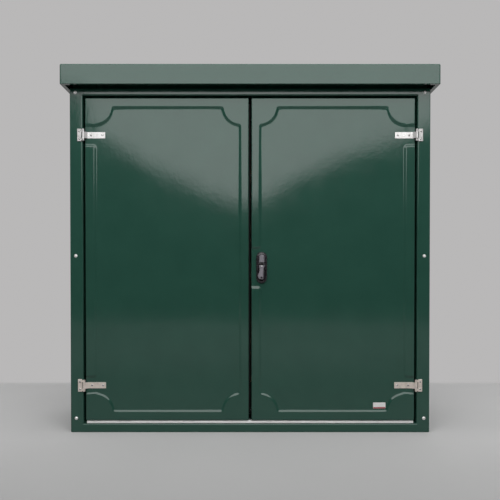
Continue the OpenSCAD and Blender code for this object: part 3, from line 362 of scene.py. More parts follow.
battenTimber = makeWood("batten_timber", (0.60, 0.45, 0.28), (0.44, 0.29, 0.16), "x", 0.010)
plateWhite = makeGrained("plate_white", (0.74, 0.73, 0.72), (0.68, 0.67, 0.66), 0.00001, 0.002, 0.35, 0.5)
plateRed = makeGrained("plate_red", (0.32, 0.045, 0.050), (0.28, 0.04, 0.045), 0.00001, 0.002, 0.35, 0.5)

# The finish of each slot, and of the nodes that differ from their slot; the lower hinges get a warmer copy of
# the hinge steel, a painted reflection of a pinkish ground
slotFinish = {"green_gelcoat": greenGelcoat, "liner_gelcoat": linerGelcoat, "hinge_steel": brightSteel,
              "screw_steel": screwSteel, "sill_aluminium": sillAluminium, "zinc_plate": zincPlate,
              "seal_rubber": sealRubber, "handle_black": handleBlack, "handle_grey": handleGrey,
              "board_plywood": boardPlywood, "batten_timber": battenTimber}
nodeFinish = {"upper_left_leaf": shadedLeafSteel, "upper_right_leaf": shadedLeafSteel, "frame_screws": litDomeSteel,
              "lever_rivet": glintRivetSteel}
for part in frame["record"]["subparts"]:
    name, slot = part["node"], part["material_slot"]
    look = pinkReflectionSteel if slot == "hinge_steel" and "lower" in name else slotFinish[slot]
    cadNode = nodes[name]
    cadNode.data.materials.clear()
    cadNode.data.materials.append(nodeFinish.get(name, look))
print("finishes made:", len(bpy.data.materials))

# Places and bores of the screws and of the spindle, which several pieces share
joins = dict(frameScrewX=557, frameScrewZ=(45, 565.5, 1086), roofScrewX=(-485, 0, 485),
             roofScrewY=(-174, 180), hingeZ=(151, 950.5), leafScrewX=544.3, leafScrewRise=12,
             strapScrewX=(507.2, 471.2), clearBore=3.25, threadBore=2.05, spindle=(36.9, 557))
framePlaces = [(side * joins["frameScrewX"], z) for side in (-1, 1) for z in joins["frameScrewZ"]]
roofPlaces = [(x, y) for x in joins["roofScrewX"] for y in joins["roofScrewY"]]
leafPlaces = [(side * joins["leafScrewX"], z + up * joins["leafScrewRise"])
              for side in (-1, 1) for z in joins["hingeZ"] for up in (-1, 1)]


def strapPlaces(side):
    return [(side * x, z) for x in joins["strapScrewX"] for z in joins["hingeZ"]]


# The rear moulding: one closed section carried round the plan, out along the outer
# wall, in over the top flange, down the inner wall and out under the base flange
shell = dict(halfWidth=575, front=-194, back=200, height=1100, wall=5, cornerRadius=24, squareRadius=0.2,
             edgeRadius=1.2, baseFlange=50, baseThickness=8, topFlange=40, topThickness=6, mouthHalf=539.5,
             anchorX=548, anchorY=167, anchorRadius=6.5)


def makeShell(s):
    arc = np.radians(np.linspace(0, 90, 4))
    soft, square = s["edgeRadius"], s["squareRadius"]
    underTop = s["height"] - s["topThickness"]
    # Each row: distance in from the outer wall, and height
    section = [(soft - soft * math.sin(a), soft - soft * math.cos(a)) for a in arc]
    section += [(soft - soft * math.cos(a), s["height"] - soft + soft * math.sin(a)) for a in arc]
    section += [(s["topFlange"], s["height"]), (s["topFlange"], underTop), (s["wall"], underTop),
                (s["wall"], s["baseThickness"]), (s["baseFlange"], s["baseThickness"]), (s["baseFlange"], 0)]
    rings = []
    for inset, z in section:
        rear = max(s["cornerRadius"] - inset, square) if inset <= s["wall"] else square
        half = s["halfWidth"] - inset
        corners = [square, square, rear, rear]
        plan = roundedRing((-half, s["front"] + inset), (half, s["back"] - inset), corners, 16)
        rings.append(placeRing(plan, "z", z))
    piece = makePiece("rear_moulding", shellFromRings(rings, joinEnds=True))
    start, end = s["front"] - past, s["front"] + s["wall"] + past
    mouth = boxShell((-s["mouthHalf"], start, s["baseThickness"]), (s["mouthHalf"], end, underTop))
    anchors = [(x * s["anchorX"], y * s["anchorY"]) for x in (-1, 1) for y in (-1, 1)]
    holes = roundBars("z", anchors, -past, s["baseThickness"] + past, s["anchorRadius"], 40)
    holes += roundBars("y", framePlaces, start, end, joins["clearBore"])
    holes += roundBars("z", roofPlaces, underTop - past, s["height"] + past, joins["clearBore"])
    return carve(piece, [mouth] + holes)


fitPiece(makeShell(shell), "cabinet", "green_gelcoat", greenGelcoat, "rear_shell")

# The front moulding: the section runs over the face, round the flare into the
# doorway, back along the reveal, round the lip and out behind the face
frontFrame = dict(halfWidth=575, height=1100, face=-200, faceBack=-194, edgeRadius=2.5, cornerRadius=3,
                  leastRadius=0.5, doorHalf=533.5, doorLow=28, doorHigh=1076, openingRadius=1, flare=5,
                  lipHalf=514, lipLow=50.7, lipHigh=1056.5, lipFront=-164, lipBack=-159, reveal=5)


def makeFrontFrame(s):
    arc = np.radians(np.linspace(0, 90, 7))
    rings = []

    def addRing(half, low, high, radius, y):
        rings.append(placeRing(roundedRing((-half, low), (half, high), radius), "y", y))

    # The doorway's outline, grown by some width
    def addDoorway(grow, y):
        addRing(s["doorHalf"] + grow, s["doorLow"] - grow, s["doorHigh"] + grow, s["openingRadius"] + grow, y)

    addRing(s["halfWidth"], 0, s["height"], s["cornerRadius"], s["faceBack"])
    for a in arc:
        inset = s["edgeRadius"] * (1 - math.cos(a))
        addRing(s["halfWidth"] - inset, inset, s["height"] - inset,
                max(s["cornerRadius"] - inset, s["leastRadius"]),
                s["face"] + s["edgeRadius"] * (1 - math.sin(a)))
    for a in arc:
        addDoorway(s["flare"] * (1 - math.sin(a)), s["face"] + s["flare"] * (1 - math.cos(a)))
    addDoorway(0, s["lipFront"])
    for y in (s["lipFront"], s["lipBack"]):
        addRing(s["lipHalf"], s["lipLow"], s["lipHigh"], s["openingRadius"], y)
    for y in (s["lipBack"], s["faceBack"]):
        addDoorway(s["reveal"], y)
    piece = makePiece("front_moulding", shellFromRings(rings, joinEnds=True))
    start, end = s["face"] - past, s["faceBack"] + past
    holes = roundBars("y", framePlaces, start, end, joins["clearBore"])
    holes += roundBars("y", leafPlaces, start, end, joins["threadBore"], 16)
    return carve(piece, holes)


fitPiece(makeFrontFrame(frontFrame), "cabinet", "green_gelcoat", greenGelcoat, "front_frame")

# The roof: the section runs up the deep edge, round it, up the four slopes to the
# ridge, and back down inside to the turned-in lip
roofForm = dict(halfWidth=594, front=-245, back=220, low=1100, edge=1163, crown=1177, radius=5,
                leastRadius=0.3, bevel=0.8, ridgeHalf=0.4, ridgeRadius=0.2, innerRadius=1, wall=5, lip=13,
                ribThickness=6, ribHalf=570, ribGap=2, bossRadius=11, bossHeight=30)


def makeRoof(s):
    arc = np.radians(np.linspace(0, 90, 7))
    toRidge = (s["back"] - s["front"]) / 2 - s["ridgeHalf"]
    rings = []

    def addRing(inset, radius, z):
        half = s["halfWidth"] - inset
        plan = roundedRing((-half, s["front"] + inset), (half, s["back"] - inset), radius)
        rings.append(placeRing(plan, "z", z))

    addRing(s["lip"], s["innerRadius"], s["low"])
    addRing(s["bevel"], s["radius"], s["low"])
    addRing(0, s["radius"], s["low"] + s["bevel"])
    for a in arc:
        addRing(s["radius"] * (1 - math.cos(a)), s["radius"] * math.cos(a) + s["leastRadius"],
                s["edge"] - s["radius"] * (1 - math.sin(a)))
    addRing(toRidge, s["ridgeRadius"], s["crown"])
    # Inside
    addRing(toRidge, s["ridgeRadius"], s["crown"] - s["wall"])
    addRing(s["wall"], s["innerRadius"], s["edge"] - s["wall"])
    addRing(s["wall"], s["innerRadius"], s["low"] + s["wall"])
    addRing(s["lip"], s["innerRadius"], s["low"] + s["wall"])
    half, ribTop = s["ribThickness"] / 2, s["edge"] - s["ribGap"]
    shells = [shellFromRings(rings, joinEnds=True)]
    shells += [boxShell((-s["ribHalf"], y - half, s["low"]), (s["ribHalf"], y + half, ribTop))
               for y in joins["roofScrewY"]]
    shells += roundBars("z", roofPlaces, s["low"], s["low"] + s["bossHeight"], s["bossRadius"], 40)
    return makePiece("roof_moulding", joinShells(shells))


fitPiece(makeRoof(roofForm), "cabinet", "green_gelcoat", greenGelcoat, "roof")
print("mouldings made")

# Each front is one surface y(x, z) over a grid: the door's rounded edge, or the wall of
# the sunk field, whichever lies deeper. The field's wall falls as half a cosine wave
# of the distance to the field's outline.
door = dict(inner=4.5, outer=526, low=38.7, high=1068.5, face=-200, back=-174, edgeRadius=2.5, wall=7,
            pocket=-190, sunk=3.6, slope=10, fieldInner=32, fieldOuter=494.4, fieldLow=68.5, fieldHigh=1038,
            scallop=55, blend=4, upperBay=(918, 983), lowerBay=(123.5, 178.5), lockBay=(465, 591),
            bayCorner=8, fineStep=1.15, fineMargin=1, coarseStep=24, leastStep=0.02, spindleHole=11.3)


# Distance to a rectangle with round corners, negative inside: the length of the part
# of the offset that lies outside the corner circles' centres, less the radius
def roundedDistance(x, z, x0, x1, z0, z1, radius):
    qx = np.abs(x - (x0 + x1) / 2) - (x1 - x0) / 2 + radius
    qz = np.abs(z - (z0 + z1) / 2) - (z1 - z0) / 2 + radius
    outside = np.hypot(np.maximum(qx, 0), np.maximum(qz, 0))
    return outside + np.minimum(np.maximum(qx, qz), 0) - radius


# Distance into the sunk field from the raised shapes round it: the borders, the quarter
# discs at the corners and the blocks between the bays. The least of them counts, and
# where two are nearly equal the logarithm of their summed exponentials blends them.
def fieldDistance(x, z, s, lockBay):
    far = 300
    raised = [s["fieldHigh"] - z, z - s["fieldLow"]]
    for cornerX in (s["fieldInner"], s["fieldOuter"]):
        for cornerZ in (s["fieldLow"], s["fieldHigh"]):
            raised.append(np.hypot(x - cornerX, z - cornerZ) - s["scallop"])
    outer = (s["fieldOuter"], s["fieldOuter"] + far)
    raised.append(roundedDistance(x, z, *outer, -far, s["lowerBay"][0], 0))
    raised.append(roundedDistance(x, z, *outer, s["lowerBay"][1], s["upperBay"][0], s["bayCorner"]))
    raised.append(roundedDistance(x, z, *outer, s["upperBay"][1], s["high"] + far, 0))
    inner = (s["fieldInner"] - far, s["fieldInner"])
    if lockBay:
        raised.append(roundedDistance(x, z, *inner, -far, s["lockBay"][0], s["bayCorner"]))
        raised.append(roundedDistance(x, z, *inner, s["lockBay"][1], s["high"] + far, s["bayCorner"]))
    else:
        raised.append(x - s["fieldInner"])
    return -s["blend"] * np.log(sum(np.exp(-part / s["blend"]) for part in raised))


# Grid lines along one side: close together in the zones that need it and at the round edge
def gridLines(low, high, zones, s):
    r = s["edgeRadius"]
    edge = r * (1 - np.cos(np.radians(np.linspace(0, 90, 8))))
    lines = [low + edge, high - edge, np.arange(low + r, high - r, s["coarseStep"])]
    lines += [np.arange(start, end, s["fineStep"]) for start, end in zones]
    lines = np.unique(np.round(np.concatenate(lines), 3))
    lines = lines[(lines >= low) & (lines <= high)]
    keep = np.concatenate([[True], np.diff(lines) > s["leastStep"]])
    keep[-1] = True
    return lines[keep]


def makeDoor(name, s, lockBay, side):
    # Half the wall of the field lies on either side of its outline
    pad = s["slope"] / 2 + s["fineMargin"]
    reach = s["scallop"] + pad + s["fineMargin"]
    bend = pad + s["bayCorner"] + 2 * s["fineMargin"]
    xZones = [(s["fieldInner"] - pad, s["fieldInner"] + reach),
              (s["fieldOuter"] - reach, s["fieldOuter"] + bend)]
    zZones = [(s["fieldLow"] - pad, s["fieldLow"] + reach), (s["fieldHigh"] - reach, s["fieldHigh"] + pad),
              (s["lowerBay"][1] - pad, s["lowerBay"][1] + bend),
              (s["upperBay"][0] - bend, s["upperBay"][0] + pad)]
    if lockBay:
        xZones[0] = (s["fieldInner"] - bend, xZones[0][1])
        zZones += [(s["lockBay"][0] - bend, s["lockBay"][0] + pad),
                   (s["lockBay"][1] - pad, s["lockBay"][1] + bend)]
    xs = gridLines(s["inner"], s["outer"], xZones, s)
    zs = gridLines(s["low"], s["high"], zZones, s)
    x, z = np.meshgrid(xs, zs, indexing="ij")
    # Squares round each corner are drawn in to circles, which rounds the outline
    r = s["edgeRadius"]
    coreX, coreZ = np.clip(x, s["inner"] + r, s["outer"] - r), np.clip(z, s["low"] + r, s["high"] - r)
    overX, overZ = x - coreX, z - coreZ
    most, length = np.maximum(np.abs(overX), np.abs(overZ)), np.hypot(overX, overZ)
    pull = np.where(length > 0, most / np.maximum(length, 1e-9), 1)
    x, z = coreX + overX * pull, coreZ + overZ * pull
    roundEdge = r - np.sqrt(np.maximum(r * r - most * most, 0))
    share = np.clip(0.5 + fieldDistance(x, z, s, lockBay) / s["slope"], 0, 1)
    sunk = s["sunk"] * (1 - np.cos(np.pi * share)) / 2
    y = s["face"] + np.maximum(roundEdge, sunk)
    front = np.stack([x, y, z], -1)
    rows, columns = x.shape
    faces = gridFaces(rows, columns)
    index = np.arange(rows * columns).reshape(rows, columns)
    border = np.concatenate([index[:-1, 0], index[-1, :-1], index[:0:-1, -1], index[0, :0:-1]])
    rim = front.reshape(-1, 3)[border]
    # Back of the skin: the side wall, the flange behind it and the pocket
    inX = np.clip(rim[:, 0], s["inner"] + s["wall"], s["outer"] - s["wall"])
    inZ = np.clip(rim[:, 2], s["low"] + s["wall"], s["high"] - s["wall"])
    wallRing = rim * [1, 0, 1] + [0, s["back"], 0]
    flangeRing = np.stack([inX, np.full(len(rim), s["back"]), inZ], -1)
    pocketRing = np.stack([inX, np.full(len(rim), s["pocket"]), inZ], -1)
    points = np.concatenate([front.reshape(-1, 3), wallRing, flangeRing, pocketRing])
    ringStarts = [rows * columns + k * len(border) for k in range(3)]
    loops = [border] + [np.arange(len(border)) + start for start in ringStarts]
    for near, deep in zip(loops[:-1], loops[1:]):
        faces += np.stack([near, np.roll(near, -1), np.roll(deep, -1), deep], -1).tolist()
    faces.append(loops[-1].tolist())
    piece = makePiece(name, (points * [side, 1, 1], faces), meshing["doorSmoothAngle"])
    start, end = s["face"] + s["sunk"] - past, s["pocket"] + past
    holes = roundBars("y", strapPlaces(side), start, end, joins["threadBore"], 16)
    if lockBay:
        spindleX, spindleZ = joins["spindle"]
        holes += roundBars("y", [(side * spindleX, spindleZ)], start, end, s["spindleHole"], 48)
    return carve(piece, holes, meshing["doorSmoothAngle"])


for side, word, lockBay in ((-1, "left", False), (1, "right", True)):
    fitPiece(makeDoor(word + "_door_moulding", door, lockBay, side), word + "_door", "green_gelcoat",
             greenGelcoat, word + "_door_skin")
print("doors made")


# An outline drawn in by some width: each point moves along its two sides' normals
def drawnIn(points, inset):
    before, after = points - np.roll(points, 1, 0), np.roll(points, -1, 0) - points
    first = np.stack([-before[:, 1], before[:, 0]], -1) / np.hypot(before[:, 0], before[:, 1])[:, None]
    second = np.stack([-after[:, 1], after[:, 0]], -1) / np.hypot(after[:, 0], after[:, 1])[:, None]
    return points + inset * (first + second) / (1 + (first * second).sum(1))[:, None]


# A smooth curve through points from the first to the last: between two points it is the
# cubic whose slope at each point is half the step between that point's neighbours
def openCurve(points, steps=6):
    p = np.asarray(points, float)
    p = np.concatenate([2 * p[:1] - p[1:2], p, 2 * p[-1:] - p[-2:-1]])
    a, b, c, d = (part[:, None] for part in (p[:-3], p[1:-2], p[2:-1], p[3:]))
    t = np.linspace(0, 1, steps, endpoint=False)[None, :, None]
    bend = (2 * a - 5 * b + 4 * c - d) * t ** 2 + (3 * b - a - 3 * c + d) * t ** 3
    curve = 0.5 * (2 * b + (c - a) * t + bend)
    return np.concatenate([curve.reshape(-1, 2), p[-2:-1]])


# Rings of an outline in the XZ plane whose front edge is a quarter circle of radius r
def softRings(outline, front, back, r, steps=8):
    turn = np.radians(np.linspace(0, 90, steps + 1))
    rings = [placeRing(drawnIn(outline, r * (1 - math.sin(a))), "y", front + r * (1 - math.cos(a)))
             for a in turn]
    return rings + [placeRing(outline, "y", back)]


# The handle: a base with a bowl behind the grip, a hub and a grip. The barrel and the
# rivet are given by x, z, radius and depth of their bores
handle = dict(x=joins["spindle"][0], z=528, width=34.6, height=101, front=-205, back=-195, edgeRadius=7,
              bowlZ=508, bowlWidth=26.2, bowlHeight=46, bowlDepth=6, bowlRadius=3.6,
              spindleZ=joins["spindle"][1], sleeve=11, sleeveBack=-183, bore=8.05,
              gripFront=-218, gripBack=-205.3, gripRadius=2.8, gripTop=535.4, ear=(3.3, 7.9), earRoot=3,
              earGap=0.1,
              hubWidth=16.4, hubLow=544.1, hubHigh=569.4, boss=8, bossBack=-192, square=4.05, squareDepth=4,
              tongue=6, tongueRoot=1, pivotY=-209.5, pivotZ=539.8, pivotRadius=4, pinBore=1.65, pinReach=12,
              barrel=(36.1, 496.5, 3.35, 9), rivet=(36.9, 532.8, 1.45, 4))
# Points round the grip, from the handle's centre: it narrows below the top and flares at the lower left
gripOutline = dict(foot=[(-7.4, -37), (4.4, -37)],
                   right=[(5.1, -33), (5.6, -25), (5.9, -16), (6.0, -7), (6.8, -2), (7.7, 3)],
                   top=[(8.2, 7.4), (-8.2, 7.4)],
                   left=[(-7.7, 3), (-7.1, -3), (-7.1, -9), (-8.0, -15), (-10.4, -20), (-12.1, -24.6),
                         (-11.7, -28.6), (-9.8, -33)])


# A bar along X between x0 and x1: a half circle round the pivot, which starts at an
# angle in the YZ plane, and straight sides to the two given points
def pivotBar(ends, start, x0, x1, s):
    turn = np.radians(start + np.linspace(0, 180, 17))
    half = np.stack([s["pivotY"] + s["pivotRadius"] * np.cos(turn),
                     s["pivotZ"] + s["pivotRadius"] * np.sin(turn)], -1)
    ring = np.concatenate([half, ends])
    return shellFromRings([placeRing(ring, "x", x0), placeRing(ring, "x", x1)])


def pinBore(s):
    return roundBars("x", [(s["pivotY"], s["pivotZ"])], s["x"] - s["pinReach"], s["x"] + s["pinReach"],
                     s["pinBore"], 24)


# Two rings of a round stem behind an outline: each point lies straight in from its point of the outline
def stemRings(outline, radius, start, end, s):
    centre = np.array([s["x"], s["spindleZ"]])
    toward = outline - centre
    circle = centre + radius * toward / np.hypot(toward[:, 0], toward[:, 1])[:, None]
    return [placeRing(circle, "y", start), placeRing(circle, "y", end)]


# The base: soft rings of a stadium and a round sleeve behind them, less the bowl and the spindle's bore
def makeHandleBase(s):
    outline = stadiumRing(s["x"], s["z"], s["width"], s["height"], 32)
    rings = softRings(outline, s["front"], s["back"], s["edgeRadius"])
    rings += stemRings(outline, s["sleeve"], s["back"], s["sleeveBack"], s)
    piece = makePiece("handle_base_form", shellFromRings(rings))
    # The bowl's wall meets its bottom in a quarter circle
    bowl = stadiumRing(s["x"], s["bowlZ"], s["bowlWidth"], s["bowlHeight"], 32)
    turn = np.radians(np.linspace(0, 90, 9))
    r, bottom = s["bowlRadius"], s["front"] + s["bowlDepth"]
    cut = [placeRing(bowl, "y", s["front"] - past)]
    cut += [placeRing(drawnIn(bowl, r * (1 - math.cos(a))), "y", bottom - r * (1 - math.sin(a)))
            for a in turn]
    carve(piece, [shellFromRings(cut)])
    return carve(piece, roundBars("y", [(s["x"], s["spindleZ"])], s["front"] - past, s["sleeveBack"] + past,
                                  s["bore"], 48))


# The grip: soft rings of its outline, less two bores, and two ears round the pin
def makeGrip(s, points):
    outline = np.concatenate([openCurve(points["foot"][1:] + points["right"] + points["top"][:1]),
                              openCurve(points["top"][1:] + points["left"] + points["foot"][:1])])
    rings = softRings(outline + [s["x"], s["z"]], s["gripFront"], s["gripBack"], s["gripRadius"])
    grip = makePiece("handle_grip_form", shellFromRings(rings))
    bores = []
    for (x, z, radius, depth), steps in ((s["barrel"], 32), (s["rivet"], 24)):
        bores += roundBars("y", [(x, z)], s["gripFront"] - past, s["gripFront"] + depth, radius, steps)
    carve(grip, bores)
    root = s["gripTop"] - s["earRoot"]
    ends = [(s["pivotY"] - s["pivotRadius"], root), (s["gripBack"] - s["earGap"], root)]
    near, far = s["ear"]
    ears = [pivotBar(ends, 0, s["x"] + x0, s["x"] + x1, s) for x0, x1 in ((-far, -near), (near, far))]
    return grip, carve(makePiece("handle_grip_ears", joinShells(ears)), pinBore(s))


# The hub: soft rings of a rectangle under a half circle, a round boss behind them, and a tongue round the pin
def makeHub(s):
    x, half = s["x"], s["hubWidth"] / 2
    turn = np.radians(np.linspace(0, 180, 33))
    arch = np.stack([x + half * np.cos(turn), s["hubHigh"] - half + half * np.sin(turn)], -1)
    outline = np.concatenate([[(x - half, s["hubLow"]), (x + half, s["hubLow"])], arch])
    rings = softRings(outline, s["gripFront"], s["gripBack"], s["gripRadius"])
    rings += stemRings(outline, s["boss"], s["gripBack"], s["bossBack"], s)
    square = s["square"]
    socket = boxShell((x - square, s["gripBack"] - s["squareDepth"], s["spindleZ"] - square),
                      (x + square, s["bossBack"] + past, s["spindleZ"] + square))
    hub = carve(makePiece("handle_hub_form", shellFromRings(rings)), [socket])
    root = s["hubLow"] + s["tongueRoot"]
    tongue = pivotBar([(s["gripBack"], root), (s["pivotY"] - s["pivotRadius"], root)], 180,
                      x - s["tongue"] / 2, x + s["tongue"] / 2, s)
    return hub, carve(makePiece("handle_hub_tongue", tongue), pinBore(s))


handleHub, hubTongue = makeHub(handle)
handleGrip, gripEars = makeGrip(handle, gripOutline)
fitPiece(makeHandleBase(handle), "right_door", "handle_black", handleBlack, "handle_base")
fitPiece(handleHub, "handle", "handle_grey", handleGrey, "handle_hub")
# The tongue is of the hub's grey material; its black finish is painted shade in the gap round the pin
fitPiece(hubTongue, "handle", "handle_black", handleBlack)
fitPiece(handleGrip, "lever", "handle_grey", handleGrey, "handle_lever")
# The ears are of the grip's grey material; their black finish is painted shade in the gap round the pin
fitPiece(gripEars, "lever", "handle_black", handleBlack)
print("handle made")

# Screws with round heads: each head is a dome with a cross sunk in it, turned further from one to the next
screws = dict(head=3.4, rise=1.8, shank=2.0, crossLong=3.6, crossWide=0.9, crossDepth=1.0, crossTurn=0.7,
              leafFace=-203, leafLength=8, strapFace=-198, strapLength=11)


def screwShell(x, z, face, length, s):
    # The dome's radius falls with its height as a quarter of an ellipse
    turn = np.radians(np.linspace(80, 0, 8))
    dome = [(face - s["rise"] * math.sin(a), s["head"] * math.cos(a)) for a in turn]
    return latheShell("y", (x, z), dome + [(face, s["shank"]), (face + length, s["shank"])], 32)


def crossShell(x, z, face, turned, s):
    a, b = s["crossLong"] / 2, s["crossWide"] / 2
    plus = np.array([(-a, -b), (-b, -b), (-b, -a), (b, -a), (b, -b), (a, -b),
                     (a, b), (b, b), (b, a), (-b, a), (-b, b), (-a, b)])
    spin = np.array([[math.cos(turned), math.sin(turned)], [-math.sin(turned), math.cos(turned)]])
    ring = plus @ spin + [x, z]
    top = face - s["rise"]
    return shellFromRings([placeRing(ring, "y", top - past), placeRing(ring, "y", top + s["crossDepth"])])


def makeScrews(name, places, face, length, s):
    piece = makePiece(name, joinShells([screwShell(x, z, face, length, s) for x, z in places]))
    return carve(piece, [crossShell(x, z, face, s["crossTurn"] * k, s) for k, (x, z) in enumerate(places)])


fitPiece(makeScrews("leaf_screw_forms", leafPlaces, screws["leafFace"], screws["leafLength"], screws),
         "cabinet", "hinge_steel", screwSteel, "leaf_screws")
for side, word in ((-1, "left"), (1, "right")):
    fitPiece(makeScrews(word + "_strap_screw_forms", strapPlaces(side), screws["strapFace"],
                        screws["strapLength"], screws),
             word + "_door", "hinge_steel", screwSteel, word + "_strap_screws")
print("screws made")

# A bare two-tone plate near the foot of the right door: rounded rectangles joined into a
# tablet with a bevel, and a thin band on it
plate = dict(x=(394.8, 434.8), z=(75.8, 95.2), y=-196.4, thickness=0.6, corner=1.2, bevel=0.3, bevelDepth=0.2,
             band=(76.3, 80.4), bandInset=0.9, bandCorner=0.3, bandRise=0.1)


def makePlate(s):
    (x0, x1), (z0, z1), bevel = s["x"], s["z"], s["bevel"]
    front = s["y"] - s["thickness"]
    ring = roundedRing((x0, z0), (x1, z1), s["corner"], 5)
    inner = roundedRing((x0 + bevel, z0 + bevel), (x1 - bevel, z1 - bevel), s["corner"] - bevel, 5)
    tablet = shellFromRings([placeRing(ring, "y", s["y"]), placeRing(ring, "y", front + s["bevelDepth"]),
                             placeRing(inner, "y", front)])
    bandRing = roundedRing((x0 + s["bandInset"], s["band"][0]), (x1 - s["bandInset"], s["band"][1]),
                           s["bandCorner"], 3)
    band = shellFromRings([placeRing(bandRing, "y", front), placeRing(bandRing, "y", front - s["bandRise"])])
    fitPiece(makePiece("door_plate", tablet), "right_door", None, plateWhite)
    fitPiece(makePiece("door_plate_band", band), "right_door", None, plateRed)


makePlate(plate)
print("plate made")

# The stage, in metres. Towards the camera the floor goes over to a darker tone, which is painted shade,
# and then to a paler one, which is painted light, and past lineY it shows the same plain tone as the
# background.
floorForm = dict(front=-4.9, side=5.0, back=6.0, color=(0.49, 0.488, 0.488), patchSize=0.5, patchTone=0.97,
                 paintedShadeColor=(0.31, 0.308, 0.308), shadeStart=-0.3, shadeEnd=-1.15, paintedLightColor=(0.64, 0.64, 0.64),
                 lightEnd=-2.8, lineY=0.69, lineSoft=0.06, bounce=0.45, roughness=0.9, shine=0.2)
background = dict(color=(0.485, 0.478, 0.478), ambient=0.36)
# The soft light in front, whose lower edge, from left to right, the gloss shows as an arch
frontLight = dict(y=-3.25, top=5.0, strength=3.6, fadeIn=0.05, fadeOut=0.09,
                  edge=[(-2.70, 2.30), (-1.64, 2.02), (-1.34, 1.98), (-1.30, 1.72), (-1.17, 1.62),
                        (-0.80, 1.40), (-0.40, 1.20), (-0.08, 1.09), (0.09, 1.12), (0.40, 1.31),
                        (0.80, 1.48), (1.20, 1.61), (1.42, 1.70), (1.64, 1.86), (2.70, 2.25)])
darkScreen = dict(halfWidth=9, y=-5.2, height=3.0, color=(0.02, 0.02, 0.02, 1), roughness=0.9)
# Name, place, target, width, depth and power of each lamp
lamps = [("top_light", (0.2, 0.1, 3.4), (0, 0, 0.5), 2.6, 2.6, 25),
         ("ceiling_light", (0, -1.6, 4.3), (0, -1.6, 0), 3.4, 2.8, 28),
         ("back_light", (0.8, 3.2, 2.2), (0, 0, 0.6), 2.2, 2.2, 18),
         ("far_light", (0, -4.0, 3.2), (0, -3.7, 0), 3.0, 1.2, 30),
         ("left_light", (-3.2, -1.2, 1.7), (0, -0.2, 0.8), 1.5, 1.5, 3),
         ("right_light", (3.2, -1.2, 1.7), (0, -0.2, 0.8), 1.5, 1.5, 3)]


def stagePlane(name, corners, material, faces=None):
    mesh = bpy.data.meshes.new(name)
    mesh.from_pydata(corners, [], faces or [list(range(len(corners)))])
    mesh.materials.append(material)
    made = bpy.data.objects.new(name, mesh)
    bpy.context.scene.collection.objects.link(made)
    return made


def makeFloor(s):
    look = Finish("floor_paint")
    patchColor = tuple(s["patchTone"] * part for part in s["color"])
    tone = look.mix(look.spread(look.noise(s["patchSize"], 4), 0, 1), s["color"], patchColor)
    depth = look.add("ShaderNodeSeparateXYZ", {"Vector": look.place}).outputs["Y"]
    # Painted shade darkens the floor in front of the cabinet, and painted light makes it paler further out
    tone = look.mix(look.spread(depth, 0, 1, s["shadeStart"], s["shadeEnd"]), tone, s["paintedShadeColor"])
    tone = look.mix(look.spread(depth, 0, 1, s["shadeEnd"], s["lightEnd"]), tone, s["paintedLightColor"])
    seen = look.seen()
    # The floor is paler to look at than the light that it throws back on the cabinet
    dimmed = look.mix(1.0, tone, (s["bounce"],) * 3, "MULTIPLY")
    paint = look.add("ShaderNodeBsdfPrincipled",
                     {"Base Color": look.mix(seen, dimmed, tone), "Roughness": s["roughness"],
                      "Specular IOR Level": s["shine"]})
    beyond = look.spread(depth, 0, 1, s["lineY"], s["lineY"] + s["lineSoft"])
    plain = look.add("ShaderNodeEmission", {"Color": (*background["color"], 1), "Strength": 1.0})
    share = look.combine("MULTIPLY", beyond, seen)
    both = look.add("ShaderNodeMixShader", {0: share, 1: paint.outputs[0], 2: plain.outputs[0]})
    side, front, back = s["side"], s["front"], s["back"]
    corners = [(-side, front, 0), (side, front, 0), (side, back, 0), (-side, back, 0)]
    stagePlane("floor", corners, look.surface(both))


# Its glow is 1 inside its edge and falls to 0 outside
def makeFrontLight(s):
    look = Finish("front_light")
    glow = look.add("ShaderNodeAttribute", attribute_name="glow").outputs["Fac"]
    strength = look.combine("MULTIPLY", glow, s["strength"])
    material = look.surface(look.add("ShaderNodeEmission", {"Color": (1, 1, 1, 1), "Strength": strength}))
    edge = np.array(s["edge"] + [(s["edge"][-1][0], s["top"]), (s["edge"][0][0], s["top"])])
    rings = np.concatenate([drawnIn(edge, s["fadeIn"]), drawnIn(edge, -s["fadeOut"])])
    count = len(edge)
    faces = [list(range(count))] + gridFaces(2, count, closeColumns=True)
    light = stagePlane("front_light", placeRing(rings, "y", s["y"]).tolist(), material, faces)
    shares = light.data.attributes.new("glow", "FLOAT", "POINT")
    shares.data.foreach_set("value", np.repeat([1.0, 0.0], count))
    light.visible_camera = False


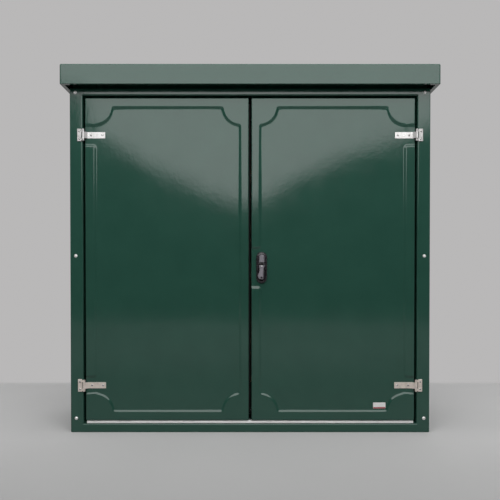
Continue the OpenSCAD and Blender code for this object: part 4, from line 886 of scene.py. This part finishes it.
# A dark screen behind the camera, which keeps the lower reflections deep
def makeDarkScreen(s):
    material = Finish("dark_cloth").shader(Base_Color=s["color"], Roughness=s["roughness"])
    half, y, height = s["halfWidth"], s["y"], s["height"]
    corners = [(-half, y, 0), (half, y, 0), (half, y, height), (-half, y, height)]
    stagePlane("dark_screen", corners, material).visible_camera = False


# A plain tone where the background is seen, and an even white light elsewhere
def makeBackground(s):
    world = bpy.data.worlds.new("studio")
    bpy.context.scene.world = world
    world.use_nodes = True
    studio = NodeSet(world.node_tree)
    ambient = studio.add("ShaderNodeBackground", {"Color": (1, 1, 1, 1), "Strength": s["ambient"]})
    shown = studio.add("ShaderNodeBackground", {"Color": (*s["color"], 1), "Strength": 1.0})
    mixed = studio.add("ShaderNodeMixShader", {0: studio.seen(), 1: ambient.outputs[0], 2: shown.outputs[0]})
    studio.add("ShaderNodeOutputWorld", {"Surface": mixed.outputs[0]})


def makeLamp(name, place, target, width, depth, power):
    lamp = bpy.data.lights.new(name, "AREA")
    lamp.shape, lamp.size, lamp.size_y, lamp.energy = "RECTANGLE", width, depth, power
    holder = bpy.data.objects.new(name, lamp)
    bpy.context.scene.collection.objects.link(holder)
    holder.location = place
    holder.rotation_euler = (Vector(target) - Vector(place)).to_track_quat("-Z", "Y").to_euler()
    holder.visible_camera = False


makeFloor(floorForm)
makeFrontLight(frontLight)
makeDarkScreen(darkScreen)
makeBackground(background)
for lamp in lamps:
    makeLamp(*lamp)

view = dict(place=(-0.0003, -2.21, 0.504), tiltDegrees=-0.78, lens=45.26, sensor=36, shiftY=0.0675)
cameraData = bpy.data.cameras.new("camera")
cameraData.lens, cameraData.sensor_width, cameraData.shift_y = view["lens"], view["sensor"], view["shiftY"]
camera = bpy.data.objects.new("camera", cameraData)
bpy.context.scene.collection.objects.link(camera)
camera.location = view["place"]
camera.rotation_euler = (math.radians(90 + view["tiltDegrees"]), 0, 0)
bpy.context.scene.camera = camera
bpy.context.scene.view_settings.view_transform = "Standard"
print("stage made")
